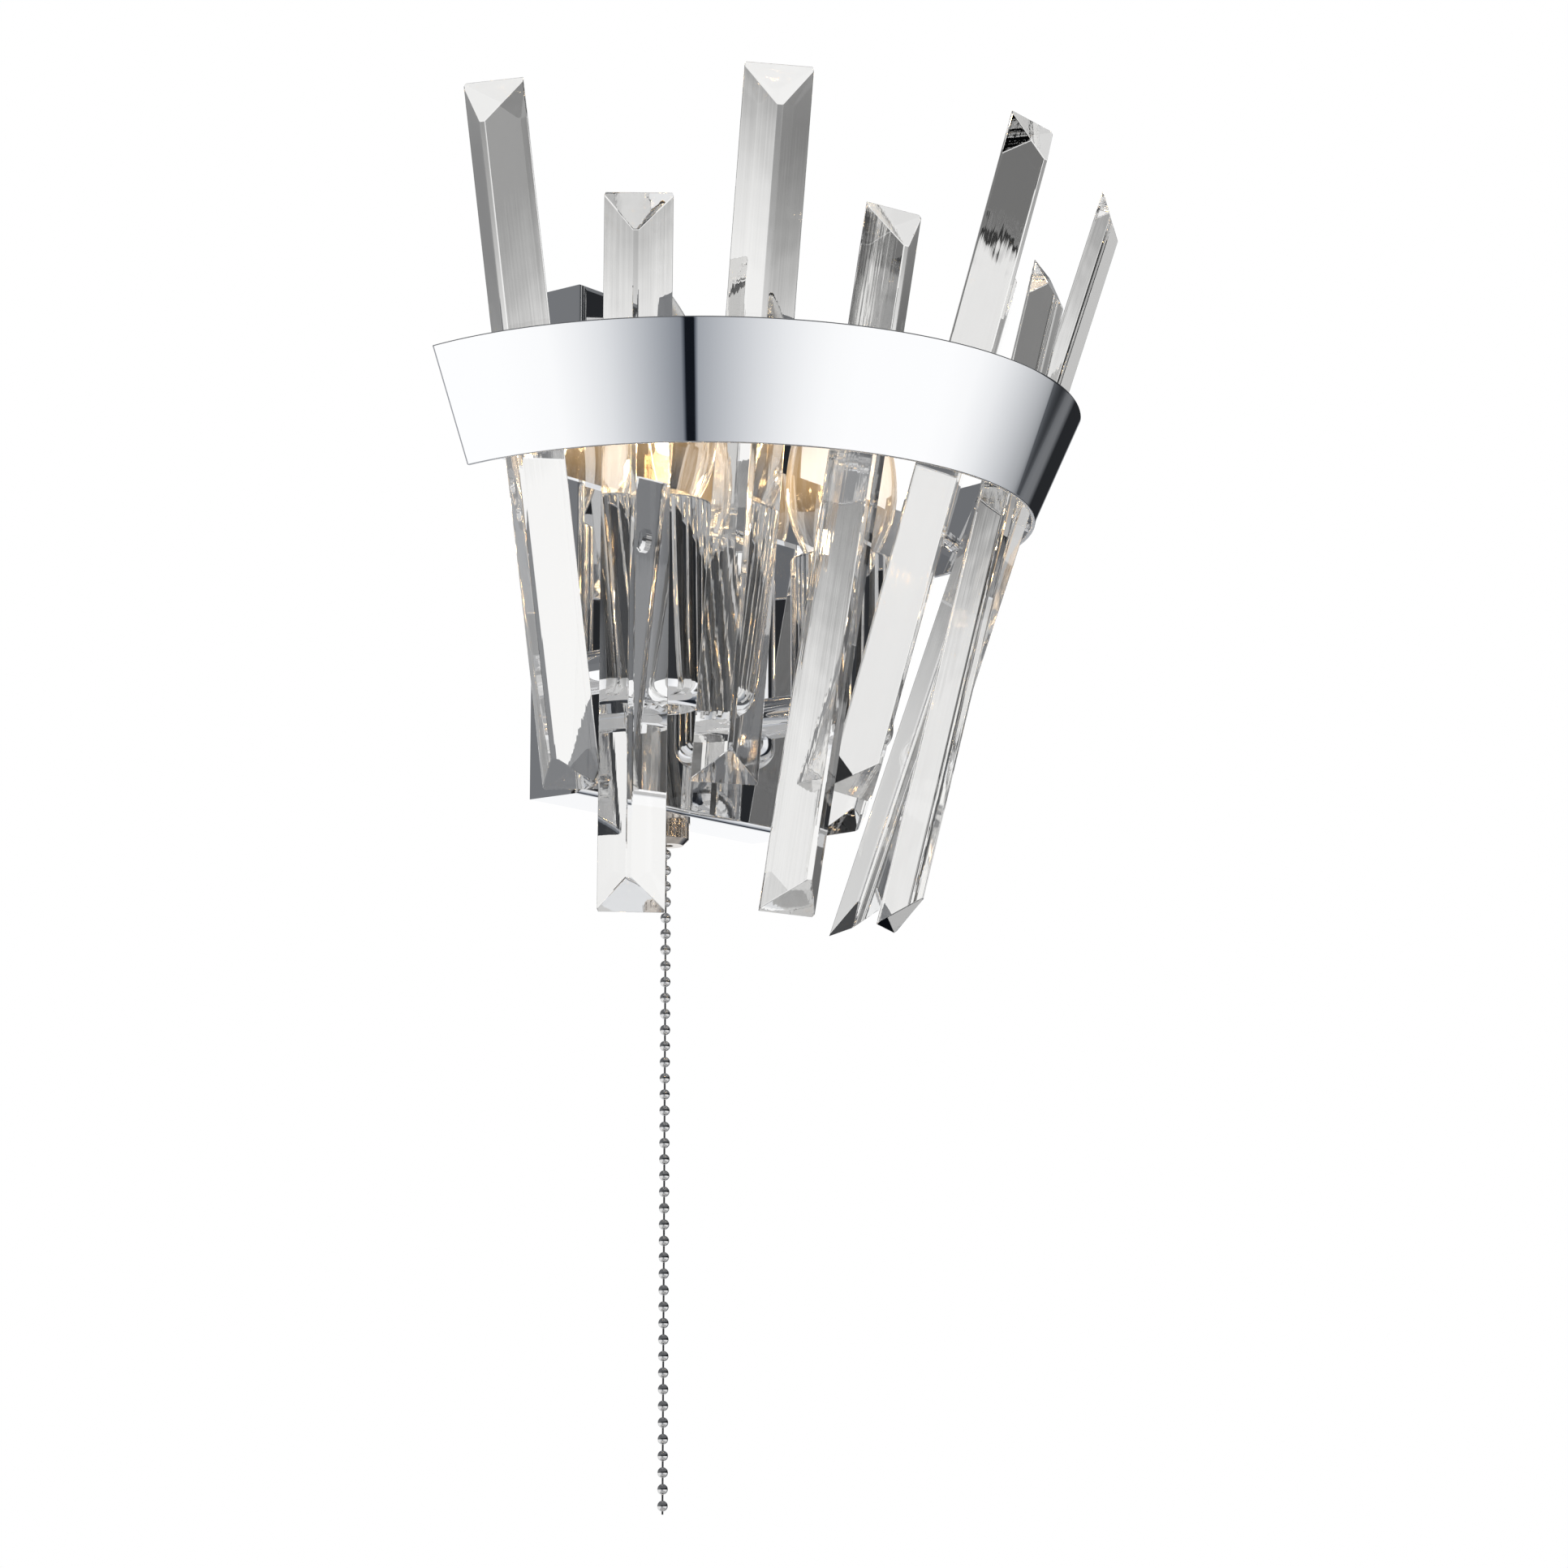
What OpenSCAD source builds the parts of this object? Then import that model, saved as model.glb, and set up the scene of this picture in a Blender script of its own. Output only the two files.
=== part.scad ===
// Crystal wall sconce with two candle lamps and a ball-chain pull switch.
// Origin: centre of the wall bracket's two slots, on the wall plane.
// +X is to the right seen from the room, +Y goes into the wall, +Z is up.

/* [Wall box] */
// Width of the chrome box on the wall
box_w = 106; // [100:1:140]
// Height of the box
box_h = 155; // [140:1:200]
// How far the box stands off the wall
box_d = 19; // [18:0.5:30]
// Thickness of the box's sheet
box_sheet = 1.2; // [0.8:0.1:1.5]
// Outer radius of the box's bent edges
box_bend_r = 1.7; // [1.6:0.1:4]

/* [Wall bracket] */
// Distance between the two wall screws
wall_screw_spacing = 60; // [50:1:64]
// Width of each slot for a wall screw
wall_slot_w = 5; // [4:0.5:6]
// Length of each slot, end to end
wall_slot_len = 14; // [10:1:18]
// Thickness of the bracket's steel
bracket_sheet = 1.5; // [1:0.1:2]
// Radius of the hole that the mains cable comes through
cable_hole_r = 7; // [5:0.5:8]

/* [Band] */
// Outer radius of the band's bottom edge
band_low_r = 101; // [98:0.5:120]
// How much larger the outer radius of the band's top edge is
band_flare_w = 14.5; // [10:0.5:20]
// Height of the band's bottom edge above the wall screws
band_low_z = 12; // [5:1:20]
// Height of the band, edge to edge
band_h = 32.5; // [28:0.5:40]
// Thickness of the band's sheet
band_sheet = 1.2; // [0.8:0.1:2]
// Distance of the band's centre line from the wall
band_centre_d = 23.6; // [22:0.1:30]
// How far each end of the band goes past the half circle
band_wrap_ang = 3.7; // [2:0.1:6]

/* [Crystals] */
// Length of a crystal along its back
crystal_len = 205; // [160:1:240]
// Width of a crystal's back face
crystal_w = 21.4; // [16:0.2:22.4]
// Depth of a crystal from its back to its outer edge
crystal_t = 10; // [8:0.2:11]
// Width of the bevel ground along each long edge
crystal_bevel = 1.1; // [0.4:0.1:2]
// How much shorter the outer edge is at each end
crystal_end_cut = 12; // [6:0.5:16]
// Lean of the crystals that hang furthest from upright
crystal_lean_ang = 20; // [10:0.5:20]
// Ring angle of the first crystal, from the left end of the half circle
crystal_first_ang = 6.6; // [5:0.1:9]
// Ring angle from one crystal to the next
crystal_step_ang = 20.4; // [20:0.1:21]
// Middle of a high crystal below its screw
crystal_high_drop = 10; // [0:1:20]
// Middle of a low crystal below its screw
crystal_low_drop = 45.5; // [30:0.5:60]

/* [Lamps] */
// Distance of each lamp's axis from the side of the box
lamp_edge = 8.5; // [8:0.1:11]
// Distance of the lamps' axes from the wall
lamp_d = 42.3; // [41:0.1:48]
// Outer radius of a lamp cup
cup_r = 16; // [15.5:0.1:17]
// Height of a cup's rim above the wall screws
cup_rim_z = 7; // [4:0.5:9]
// Height of a cup
cup_h = 61; // [50:1:70]
// Thickness of a cup's wall
cup_wall = 1; // [0.8:0.1:1.2]
// Largest radius of the candle bulb
bulb_r = 17.5; // [16:0.1:18]
// Height of the bulb's widest place above the wall screws
bulb_wide_z = 29; // [26:0.5:32]
// Height of the bulb's tip above the wall screws
bulb_tip_z = 75; // [65:1:85]

/* [Pull switch] */
// Distance of the switch's axis from the wall
switch_d = 8.5; // [8.2:0.1:9.5]
// How far the chain travels when it is pulled
pull_travel = 5.5; // [4:0.5:6]
// Radius of a chain bead
bead_r = 1.6; // [1.2:0.1:1.8]
// Distance from one bead to the next
bead_pitch = 4.88; // [4.2:0.02:6]
// Number of beads that hang below the collar
bead_count = 41; // [5:1:60]

/* [Hidden] */

// Shared
over = 1;
$fn = 96;
small_sides = 24;
rib_sides = 16;
bead_sides = 32;
hex_sides = 6;

// Box, worked out
box_x = box_w / 2;
box_z = box_h / 2;
box_in_y = -(box_d - box_sheet);

// Bracket: a strip with turned tabs and a tongue for the terminal block
tab_gap = 0.4;
tab_reach = 15;
strip_h = 24;
bracket_x = box_x - box_sheet - tab_gap;
tongue_w = 38;
tongue_top_z = 38;
side_screw_d = 9.5;
side_screw_r = 2;
side_hole_play = 0.2;
side_head_r = 3.6;
side_head_t = 1.8;
side_screw_len = 7;
earth_x = 15;
earth_z = -6;
earth_screw_r = 2;
earth_head_r = 3.8;
earth_head_t = 2.4;
earth_washer_r = 5;
earth_washer_t = 0.8;
earth_tail = 0.9;

// Terminal block
block_w = 30;
block_h = 13;
block_t = 9.5;
block_z = 29;
block_poles = 3;
block_bore_r = 1.8;
block_well_r = 2.3;
block_rib_w = 1.6;
block_rib_cut = 2;
term_screw_r = 1.9;
term_screw_len = 3.2;
term_slot_w = 0.6;
term_slot_t = 0.7;
term_screw_share = 0.27;
term_tip_gap = 0.1;

// Band, worked out
band_top_r = band_low_r + band_flare_w;
band_top_z = band_low_z + band_h;
band_mid_z = band_low_z + band_h / 2;
band_slope = band_flare_w / band_h;
band_in_low_r = band_low_r - band_sheet * sqrt(1 + band_slope * band_slope);
function band_in_r(z) = band_in_low_r + band_slope * (z - band_low_z);

// Back bar
bar_h = 22;
bar_t = 2;
bar_rise = 4;
bar_low_z = band_low_z + bar_rise;
bar_end_gap = 0.3;
bar_screw_x = 18;
bar_screw_r = 2;
bar_hole_r = 2.2;
bar_head_r = 3.9;
bar_head_t = 2;
bar_nut_r = 3.9;
bar_nut_t = 2.8;
bar_mid_z = bar_low_z + bar_h / 2;
bar_front_y = -(box_d + bar_t);

// Crystals: the photograph shows that each hangs a little out of true on its screw
crystal_count = 9;
crystal_lean_share = [1, 0.7, 0.975, 0.675, 0.85, 0.7, 0.9, 0.975, 1];
crystal_sway = [4, 1.5, 2, 1, 4, 0.5, -2.5, 0.3, -1];
crystal_turn = [3, 8, -2, 6, -2, 2, 0, -1, 0];
crystal_hole_r = 1.8;
crystal_screw_r = 1.5;
crystal_head_r = 3;
crystal_head_t = 1.8;
washer_r = 3.4;
washer_t = 0.6;
standoff_r = 2.6;
standoff_gap = 0.3;
standoff_weld_gap = 0.1;
driver_r = 1;
driver_t = 0.9;
crystal_band_gap = 0.27;
crystal_cup_gap = 1.35;

// Lamp parts
lamp_x = box_x - lamp_edge;
lamp_reach = norm([lamp_x, lamp_d - band_centre_d]) + cup_r;
cup_low_z = cup_rim_z - cup_h;
cup_round_r = 7;
cup_ledge_drop = 16;
cup_ledge_z = cup_rim_z - cup_ledge_drop;
cup_ledge_t = 1.2;
cup_ledge_in = 1.6;
nipple_rise = 14;
nipple_z = cup_low_z + nipple_rise;
nipple_r = 4;
nipple_bore_r = 2.6;
nipple_play = 0.15;
nipple_nut_r = 6;
nipple_nut_t = 2.4;
nipple_box_tail = 1;
nipple_cup_tail = 1;
saddle_r = 6.5;
saddle_gap = 0.1;
holder_r = 13;
holder_flange_r = 14.7;
holder_flange_t = 2;
holder_drop = 20;
holder_low_z = cup_ledge_z - holder_drop;
holder_floor = 2.4;
holder_seat_gap = 0.05;
holder_ribs = 12;
holder_rib_r = 0.8;
holder_flange_z = cup_ledge_z + cup_ledge_t + holder_seat_gap;
holder_top_drop = 5;
holder_top_z = cup_rim_z - holder_top_drop;
holder_neck_r = 10.2;
cap_r = 7;
cap_root_r = 6.55;
cap_play = 0.06;
cap_rise = 8;
cap_low_z = holder_low_z + cap_rise;
cap_show = 0.2;
cap_top_z = holder_top_z + cap_show;
cap_thread_pitch = 2.82;
cap_threads = 6;
cap_shell = 0.4;
insulator_t = 2.6;
insulator_low_r = 3.4;
pip_r = 2;
pip_t = 1.1;
pip_gap = 0.3;
contact_r = 3;
contact_t = 0.8;
contact_stem_r = 1.2;
glass_t = 0.8;
glass_neck_r = 7.4;
glass_neck_gap = 0.1;
glass_low_z = cap_top_z + glass_neck_gap;
glass_tip_power_share = 0.8;
glass_neck_power_share = 0.9;
glass_steps = 16;
stem_r = 3.4;
stem_low_r = 5;
stem_h = 11.7;
stem_top_z = glass_low_z + stem_h;
stem_top_r = 1.7;
wire_r = 0.35;
wire_spread = 7;
wire_low_spread = 1;
wire_kink_rise = 4;
wire_kink_z = stem_top_z + wire_kink_rise;
filament_rise = 5;
filament_z = bulb_wide_z + filament_rise;
filament_r = 0.9;

// Switch
case_w = 30;
case_t = 13;
case_h = 25;
case_wall = 1.5;
lid_t = 1.2;
case_low_z = -box_z + box_sheet;
case_top_z = case_low_z + case_h;
case_front_y = -switch_d - case_t / 2;
case_back_y = case_front_y + case_t - lid_t;
case_in_x = case_w / 2 - case_wall;
case_in_y = case_front_y + case_wall;
neck_r = 4.7;
neck_bore_r = 2.2;
neck_play = 0.2;
neck_well_h = 4.2;
neck_reach = 5.5;
neck_low_z = -box_z - neck_reach;
collar_r = 7;
collar_flange_r = 7.4;
collar_flange_t = 1.6;
collar_h = 8.1;
collar_chamfer = 1.8;
knurl_count = 24;
knurl_r = 0.45;
knurl_h = 3.4;
knurl_low = 2.4;
slider_rod_r = 1.2;
slider_play = 0.08;
slider_head_r = 3.1;
slider_head_t = 1.8;
slider_top_gap = 1.2;
slider_head_z = case_top_z - case_wall - slider_head_t - slider_top_gap;
slider_arm_t = 1.2;
slider_pin_r = 0.8;
slider_pin_len = 2.6;
rocker_t = 2;
rocker_fork_over = 0.9;
rocker_fork_h = 3.8;
rocker_hub_r = 1.9;
rocker_bore_r = 0.85;
rocker_tail = 2.9;
rocker_tail_h = 1.6;
rocker_play = 0.2;
axle_r = 0.8;
pin_head_gap = 0.7;
pin_x = slider_head_r + pin_head_gap + slider_pin_r;
pin_z = slider_head_z + slider_head_t / 2;
leaf_t = 0.4;
leaf_w = 3;
leaf_gap = 0.4;
leaf_reach = 3;
rocker_x = case_in_x - leaf_t - leaf_gap - rocker_tail;
rocker_z = pin_z - pull_travel / 2;
rocker_arm = rocker_x - pin_x;
rocker_fork_r = rocker_arm + rocker_fork_over;
rocker_ang = atan(pull_travel / 2 / rocker_arm);
spring_wire_r = 0.35;
spring_r = 2.6;
spring_turns = 7;
spring_gap = 0.3;
spring_steps = 14;
spring_sides = 6;

// Chain
collar_low_z = -box_z - collar_h;
bead_first_gap = 1.1;
bead_top_z = collar_low_z - bead_first_gap - bead_r;
bead_wall = 0.4;
link_r = 0.3;
link_knob_r = 0.5;
link_hole_play = 0.12;
link_knob_play = 0.05;
link_tail = 0.9;
knob_off = bead_r - bead_wall - link_knob_r - link_knob_play;

// Leads inside the box
lead_r = 1.2;
lead_in_block = 5;
lead_sides = 8;
lead_bend_z = 4;
lead_y = -7;
lead_low_z = -22;

function unit(v) = v / norm(v);
function arc(cx, cy, r, a0, a1, n) =
    [for (k = [0 : n]) [cx + r * cos(a0 + (a1 - a0) * k / n), cy + r * sin(a0 + (a1 - a0) * k / n)]];

// Rings of a round tube along a route, each mitred between its two stretches
function mitre(points, k) =
    k == 0 ? unit(points[1] - points[0])
    : k == len(points) - 1 ? unit(points[k] - points[k - 1])
    : unit(unit(points[k + 1] - points[k]) + unit(points[k] - points[k - 1]));
function slid(ring, along, at, flat) = [for (p = ring) p + along * (((at - p) * flat) / (along * flat))];
function rings(points, ring, k = 0) = k == len(points) - 1 ? [ring]
    : concat([ring], rings(points, slid(ring, unit(points[k + 1] - points[k]), points[k + 1],
                                         mitre(points, k + 1)), k + 1));
function first_ring(points, r, sides) =
    let (d = mitre(points, 0), side = abs(d[0]) > abs(d[2]) ? [0, 0, 1] : [1, 0, 0],
         u = unit(cross(d, side)), v = cross(u, d))
    [for (j = [0 : sides - 1]) points[0] + r * (u * cos(j * 360 / sides) + v * sin(j * 360 / sides))];

module wire(points, r, sides) {
    verts = [for (ring = rings(points, first_ring(points, r, sides))) for (p = ring) p];
    last = (len(points) - 1) * sides;
    walls = [for (k = [0 : len(points) - 2]) for (j = [0 : sides - 1])
        let (a = k * sides + j, b = k * sides + (j + 1) % sides) [a, b, b + sides, a + sides]];
    polyhedron(verts, concat(
        [for (w = walls) [w[0], w[1], w[2]]],
        [for (w = walls) [w[0], w[2], w[3]]],
        [[for (j = [sides - 1 : -1 : 0]) j]],
        [[for (j = [0 : sides - 1]) last + j]]));
}

// A rod along Y, its near end at y0, running towards the wall
module y_rod(x, y0, z, r, h) {
    translate([x, y0, z]) rotate([-90, 0, 0]) cylinder(r = r, h = h);
}

// A rod along X from x0
module x_rod(x0, y, z, r, h) {
    translate([x0, y, z]) rotate([0, 90, 0]) cylinder(r = r, h = h);
}

// A pan head with a driver slot, its flat side on the plane z = 0
module pan_head(r, t, slot_w, slot_t) {
    difference() {
        union() {
            cylinder(r = r, h = t / 2);
            translate([0, 0, t / 2]) cylinder(r1 = r, r2 = r * 2 / 3, h = t / 2);
        }
        translate([-r, -slot_w / 2, t - slot_t]) cube([2 * r, slot_w, slot_t + over]);
    }
}

// Both lamps sit mirrored about the middle
module at_lamp(side) {
    translate([side * lamp_x, -lamp_d, 0]) children();
}

module box_profile(inset) {
    r = box_bend_r - inset;
    x = box_x - inset;
    front = box_d - inset;
    translate([-x, -front + r]) square([2 * x, front - r + (inset > 0 ? over : 0)]);
    translate([-x + r, -front]) square([2 * (x - r), r]);
    for (s = [-1, 1]) translate([s * (x - r), -front + r]) circle(r = r);
}

module box_side_profile(inset) {
    r = box_bend_r - inset;
    z = box_z - inset;
    front = box_d - inset;
    translate([-front + r, -z]) square([front - r + (inset > 0 ? over : 0), 2 * z]);
    translate([-front, -z + r]) square([r, 2 * (z - r)]);
    for (s = [-1, 1]) translate([-front + r, s * (z - r)]) circle(r = r);
}

module box_form(inset) {
    intersection() {
        translate([0, 0, -box_z]) linear_extrude(box_h) box_profile(inset);
        rotate([90, 0, 90]) translate([0, 0, -box_x]) linear_extrude(box_w) box_side_profile(inset);
    }
}

module wall_box() {
    color("silver") difference() {
        box_form(0);
        box_form(box_sheet);
        for (s = [-1, 1]) {
            y_rod(s * bar_screw_x, -box_d - over, bar_mid_z, bar_hole_r, box_sheet + 2 * over);
            y_rod(s * lamp_x, -box_d - over, nipple_z, nipple_r + nipple_play, box_sheet + 2 * over);
            x_rod(s * box_x - box_sheet - over, -side_screw_d, 0, side_screw_r + side_hole_play,
                  2 * (box_sheet + over));
        }
        translate([0, -switch_d, -box_z - over]) cylinder(r = neck_r + neck_play, h = box_sheet + 2 * over);
    }
}

module slot(x, z, w, length, y0, t) {
    half = (length - w) / 2;
    translate([x - half, y0, z - w / 2]) cube([2 * half, t, w]);
    for (s = [-1, 1]) y_rod(x + s * half, y0, z, w / 2, t);
}

module wall_bracket() {
    color("lightsteelblue") difference() {
        union() {
            translate([-bracket_x, -bracket_sheet, -strip_h / 2])
                cube([2 * bracket_x, bracket_sheet, strip_h]);
            translate([-tongue_w / 2, -bracket_sheet, 0]) cube([tongue_w, bracket_sheet, tongue_top_z]);
            for (s = [-1, 1])
                translate([s * (bracket_x - bracket_sheet / 2) - bracket_sheet / 2, -tab_reach, -strip_h / 2])
                    cube([bracket_sheet, tab_reach, strip_h]);
        }
        for (s = [-1, 1]) {
            slot(s * wall_screw_spacing / 2, 0, wall_slot_w, wall_slot_len, -bracket_sheet - over,
                 bracket_sheet + 2 * over);
            x_rod(s * bracket_x - bracket_sheet - over, -side_screw_d, 0, side_screw_r,
                  2 * (bracket_sheet + over));
        }
        y_rod(0, -bracket_sheet - over, 0, cable_hole_r, bracket_sheet + 2 * over);
        y_rod(earth_x, -bracket_sheet - over, earth_z, earth_screw_r, bracket_sheet + 2 * over);
    }
}

// The two screws that hold the box to the bracket's tabs
module box_screws() {
    color("gainsboro") for (s = [-1, 1])
        translate([s * box_x, -side_screw_d, 0]) rotate([0, s * 90, 0]) {
            pan_head(side_head_r, side_head_t, term_slot_w, term_slot_t);
            translate([0, 0, -side_screw_len]) cylinder(r = side_screw_r, h = side_screw_len);
        }
}

module earth_screw() {
    color("goldenrod") translate([earth_x, -bracket_sheet, earth_z]) rotate([90, 0, 0]) {
        cylinder(r = earth_washer_r, h = earth_washer_t);
        translate([0, 0, earth_washer_t]) pan_head(earth_head_r, earth_head_t, term_slot_w, term_slot_t);
        translate([0, 0, -earth_tail]) cylinder(r = earth_screw_r, h = earth_tail);
    }
}

block_pitch = block_w / block_poles;
block_back_y = -bracket_sheet;
block_mid_y = block_back_y - block_t / 2;
block_front_y = block_back_y - block_t;
block_low_z = block_z - block_h / 2;
function term_z(s) = block_z + s * block_h * term_screw_share;

module terminal_block() {
    color("ivory") difference() {
        translate([-block_w / 2, block_front_y, block_low_z]) cube([block_w, block_t, block_h]);
        for (p = [-1 : 1]) {
            translate([p * block_pitch, block_mid_y, block_low_z - over])
                cylinder(r = block_bore_r, h = block_h + 2 * over);
            for (s = [-1, 1])
                y_rod(p * block_pitch, block_front_y - over, term_z(s), block_well_r, block_t / 2 + over);
        }
        for (p = [-1, 1])
            translate([p * block_pitch / 2 - block_rib_w / 2, block_front_y - over, block_low_z - over])
                cube([block_rib_w, block_rib_cut + over, block_h + 2 * over]);
    }
}

module terminal_screws() {
    color("silver") for (p = [-1 : 1]) for (s = [-1, 1])
        translate([p * block_pitch, block_mid_y - lead_r - term_tip_gap, term_z(s)])
            rotate([90, 0, 0]) difference() {
                cylinder(r = term_screw_r, h = term_screw_len);
                translate([-term_screw_r, -term_slot_w / 2, term_screw_len - term_slot_t])
                    cube([2 * term_screw_r, term_slot_w, term_slot_t + over]);
            }
}

// A two-core lead from an outer pole of the terminal block, through the nipple, up to the lampholder
module lamp_lead(s) {
    wire([[s * block_pitch, block_mid_y, block_low_z + lead_in_block],
          [s * block_pitch, lead_y, lead_bend_z],
          [s * (lamp_x - nipple_bore_r / 2), lead_y, lead_low_z],
          [s * lamp_x, lead_y, nipple_z],
          [s * lamp_x, -lamp_d, nipple_z],
          [s * lamp_x, -lamp_d, holder_low_z]], lead_r, lead_sides);
}

module lamp_leads() {
    color("dimgray") for (s = [-1, 1]) lamp_lead(s);
}

module switch_leads() {
    color("saddlebrown")
        wire([[0, block_mid_y, block_low_z + lead_in_block],
              [0, lead_y, lead_bend_z],
              [-case_w / 4, lead_y, lead_low_z],
              [-case_w / 4, lead_y, case_top_z]], lead_r, lead_sides);
}

module switch_case() {
    color("darkslategray") difference() {
        union() {
            translate([-case_w / 2, case_front_y, case_low_z])
                cube([case_w, case_back_y - case_front_y, case_h]);
            translate([0, -switch_d, neck_low_z])
                cylinder(r = neck_r, h = case_low_z - neck_low_z + case_wall / 2);
        }
        translate([-case_in_x, case_in_y, case_low_z + case_wall])
            cube([2 * case_in_x, case_t, case_h - 2 * case_wall]);
        translate([0, -switch_d, neck_low_z - over]) cylinder(r = neck_bore_r, h = neck_well_h + over);
        translate([0, -switch_d, neck_low_z]) cylinder(r = slider_rod_r + slider_play, h = case_h);
    }
}

module switch_lid() {
    color("slategray")
        translate([-case_w / 2, case_back_y, case_low_z]) cube([case_w, lid_t, case_h]);
}

// Ribbed ring nut on the case's neck, with the chain's mouth in its floor
module switch_collar() {
    color("rosybrown") translate([0, -switch_d, collar_low_z]) difference() {
        union() {
            cylinder(r1 = collar_r - collar_chamfer, r2 = collar_r, h = collar_chamfer);
            translate([0, 0, collar_chamfer]) cylinder(r = collar_r, h = collar_h - collar_chamfer);
            translate([0, 0, collar_h - collar_flange_t]) cylinder(r = collar_flange_r, h = collar_flange_t);
        }
        translate([0, 0, -over]) cylinder(r = neck_bore_r, h = collar_h);
        translate([0, 0, collar_h - neck_reach]) cylinder(r = neck_r, h = neck_reach + over);
        for (k = [0 : knurl_count - 1]) rotate([0, 0, k * 360 / knurl_count])
            translate([collar_r, 0, knurl_low]) cylinder(r = knurl_r, h = knurl_h, $fn = rib_sides);
    }
}

leaf_z = rocker_tail * sin(rocker_ang) + rocker_tail_h / 2 + leaf_gap;
leaf_foot = case_top_z - case_wall - leaf_gap - rocker_z - leaf_z;

// Two leaf contacts on the case's side wall, one on each side of the rocker's tail
module switch_contacts() {
    color("peru") for (s = [-1, 1]) translate([case_in_x - leaf_t, -switch_d - leaf_w / 2, rocker_z]) {
        translate([0, 0, s > 0 ? leaf_z : -leaf_z - leaf_foot]) cube([leaf_t, leaf_w, leaf_foot]);
        translate([-leaf_reach, 0, s > 0 ? leaf_z : -leaf_z - leaf_t]) cube([leaf_reach, leaf_w, leaf_t]);
    }
}

module switch_axle() {
    color("gray") y_rod(rocker_x, case_in_y, rocker_z, axle_r, case_back_y - case_in_y);
}

// Forked lever that the slider's pin turns, drawn with the chain let go
module switch_rocker() {
    slot_h = 2 * (slider_pin_r + rocker_play);
    color("white") translate([rocker_x, -switch_d + rocker_t / 2, rocker_z])
        rotate([90, rocker_ang, 0]) difference() {
            union() {
                cylinder(r = rocker_hub_r, h = rocker_t);
                translate([-rocker_fork_r, -rocker_fork_h / 2, 0])
                    cube([rocker_fork_r, rocker_fork_h, rocker_t]);
                translate([0, -rocker_tail_h / 2, 0]) cube([rocker_tail, rocker_tail_h, rocker_t]);
            }
            translate([-rocker_fork_r - over, -slot_h / 2, -over])
                cube([rocker_fork_r + over - rocker_hub_r, slot_h, rocker_t + 2 * over]);
            translate([0, 0, -over]) cylinder(r = rocker_bore_r, h = rocker_t + 2 * over);
        }
}

slider_ball_z = bead_top_z + bead_pitch;

// Head, rod and last ball of the pull, with a side arm whose pin works the rocker
module pull_slider() {
    arm_y = -switch_d - rocker_t / 2 - rocker_play - slider_arm_t;
    color("white") difference() {
        union() {
            translate([0, -switch_d, slider_head_z]) cylinder(r = slider_head_r, h = slider_head_t);
            translate([0, -switch_d, slider_ball_z])
                cylinder(r = slider_rod_r, h = slider_head_z - slider_ball_z + slider_head_t / 2);
            translate([0, -switch_d, slider_ball_z]) sphere(r = bead_r);
            translate([0, arm_y, slider_head_z]) cube([pin_x + slider_pin_r, slider_arm_t, slider_head_t]);
            y_rod(pin_x, arm_y, pin_z, slider_pin_r, slider_arm_t + slider_pin_len);
        }
        translate([0, -switch_d, slider_ball_z - bead_r - over])
            cylinder(r = link_r + link_hole_play, h = bead_r + over);
    }
}

spring_low_z = case_low_z + case_wall + spring_gap;
spring_top_z = slider_head_z - spring_gap;

// Return spring round the slider's rod
module pull_spring() {
    rise = spring_top_z - spring_low_z - 2 * spring_wire_r;
    count = spring_turns * spring_steps;
    color("lightgray") wire([for (k = [0 : count])
        [spring_r * cos(k * 360 / spring_steps), -switch_d + spring_r * sin(k * 360 / spring_steps),
         spring_low_z + spring_wire_r + rise * k / count]], spring_wire_r, spring_sides);
}

module chain_beads() {
    color("silver") for (k = [0 : bead_count - 1])
        translate([0, -switch_d, bead_top_z - k * bead_pitch]) difference() {
            sphere(r = bead_r, $fn = bead_sides);
            sphere(r = bead_r - bead_wall, $fn = bead_sides);
            translate([0, 0, -bead_r - over])
                cylinder(r = link_r + link_hole_play, h = 2 * (bead_r + over), $fn = small_sides);
        }
}

// Dumbbell links: a wire with a knob inside each of the two beads that it joins
module chain_links() {
    color("gainsboro") for (k = [0 : bead_count]) translate([0, -switch_d, bead_top_z - k * bead_pitch]) {
        first = k == 0;
        last = k == bead_count;
        low = last ? bead_pitch - bead_r - link_tail : knob_off;
        top = first ? bead_pitch - bead_r + link_knob_play : bead_pitch - knob_off;
        translate([0, 0, low]) cylinder(r = link_r, h = top - low, $fn = small_sides);
        if (!last) translate([0, 0, knob_off]) sphere(r = link_knob_r, $fn = small_sides);
        if (!first) translate([0, 0, bead_pitch - knob_off]) sphere(r = link_knob_r, $fn = small_sides);
    }
}

module back_bar() {
    low = band_in_r(bar_low_z) - bar_end_gap;
    high = band_in_r(bar_low_z + bar_h) - bar_end_gap;
    color("silver") difference() {
        translate([0, -box_d, 0]) rotate([90, 0, 0]) linear_extrude(bar_t)
            polygon([[-low, bar_low_z], [low, bar_low_z],
                     [high, bar_low_z + bar_h], [-high, bar_low_z + bar_h]]);
        for (s = [-1, 1]) y_rod(s * bar_screw_x, bar_front_y - over, bar_mid_z, bar_hole_r, bar_t + 2 * over);
    }
}

module bar_screws() {
    length = bar_t + box_sheet + bar_nut_t;
    color("silver") for (s = [-1, 1]) {
        translate([s * bar_screw_x, bar_front_y, bar_mid_z]) rotate([90, 0, 0])
            pan_head(bar_head_r, bar_head_t, term_slot_w, term_slot_t);
        y_rod(s * bar_screw_x, bar_front_y, bar_mid_z, bar_screw_r, length);
    }
}

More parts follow.
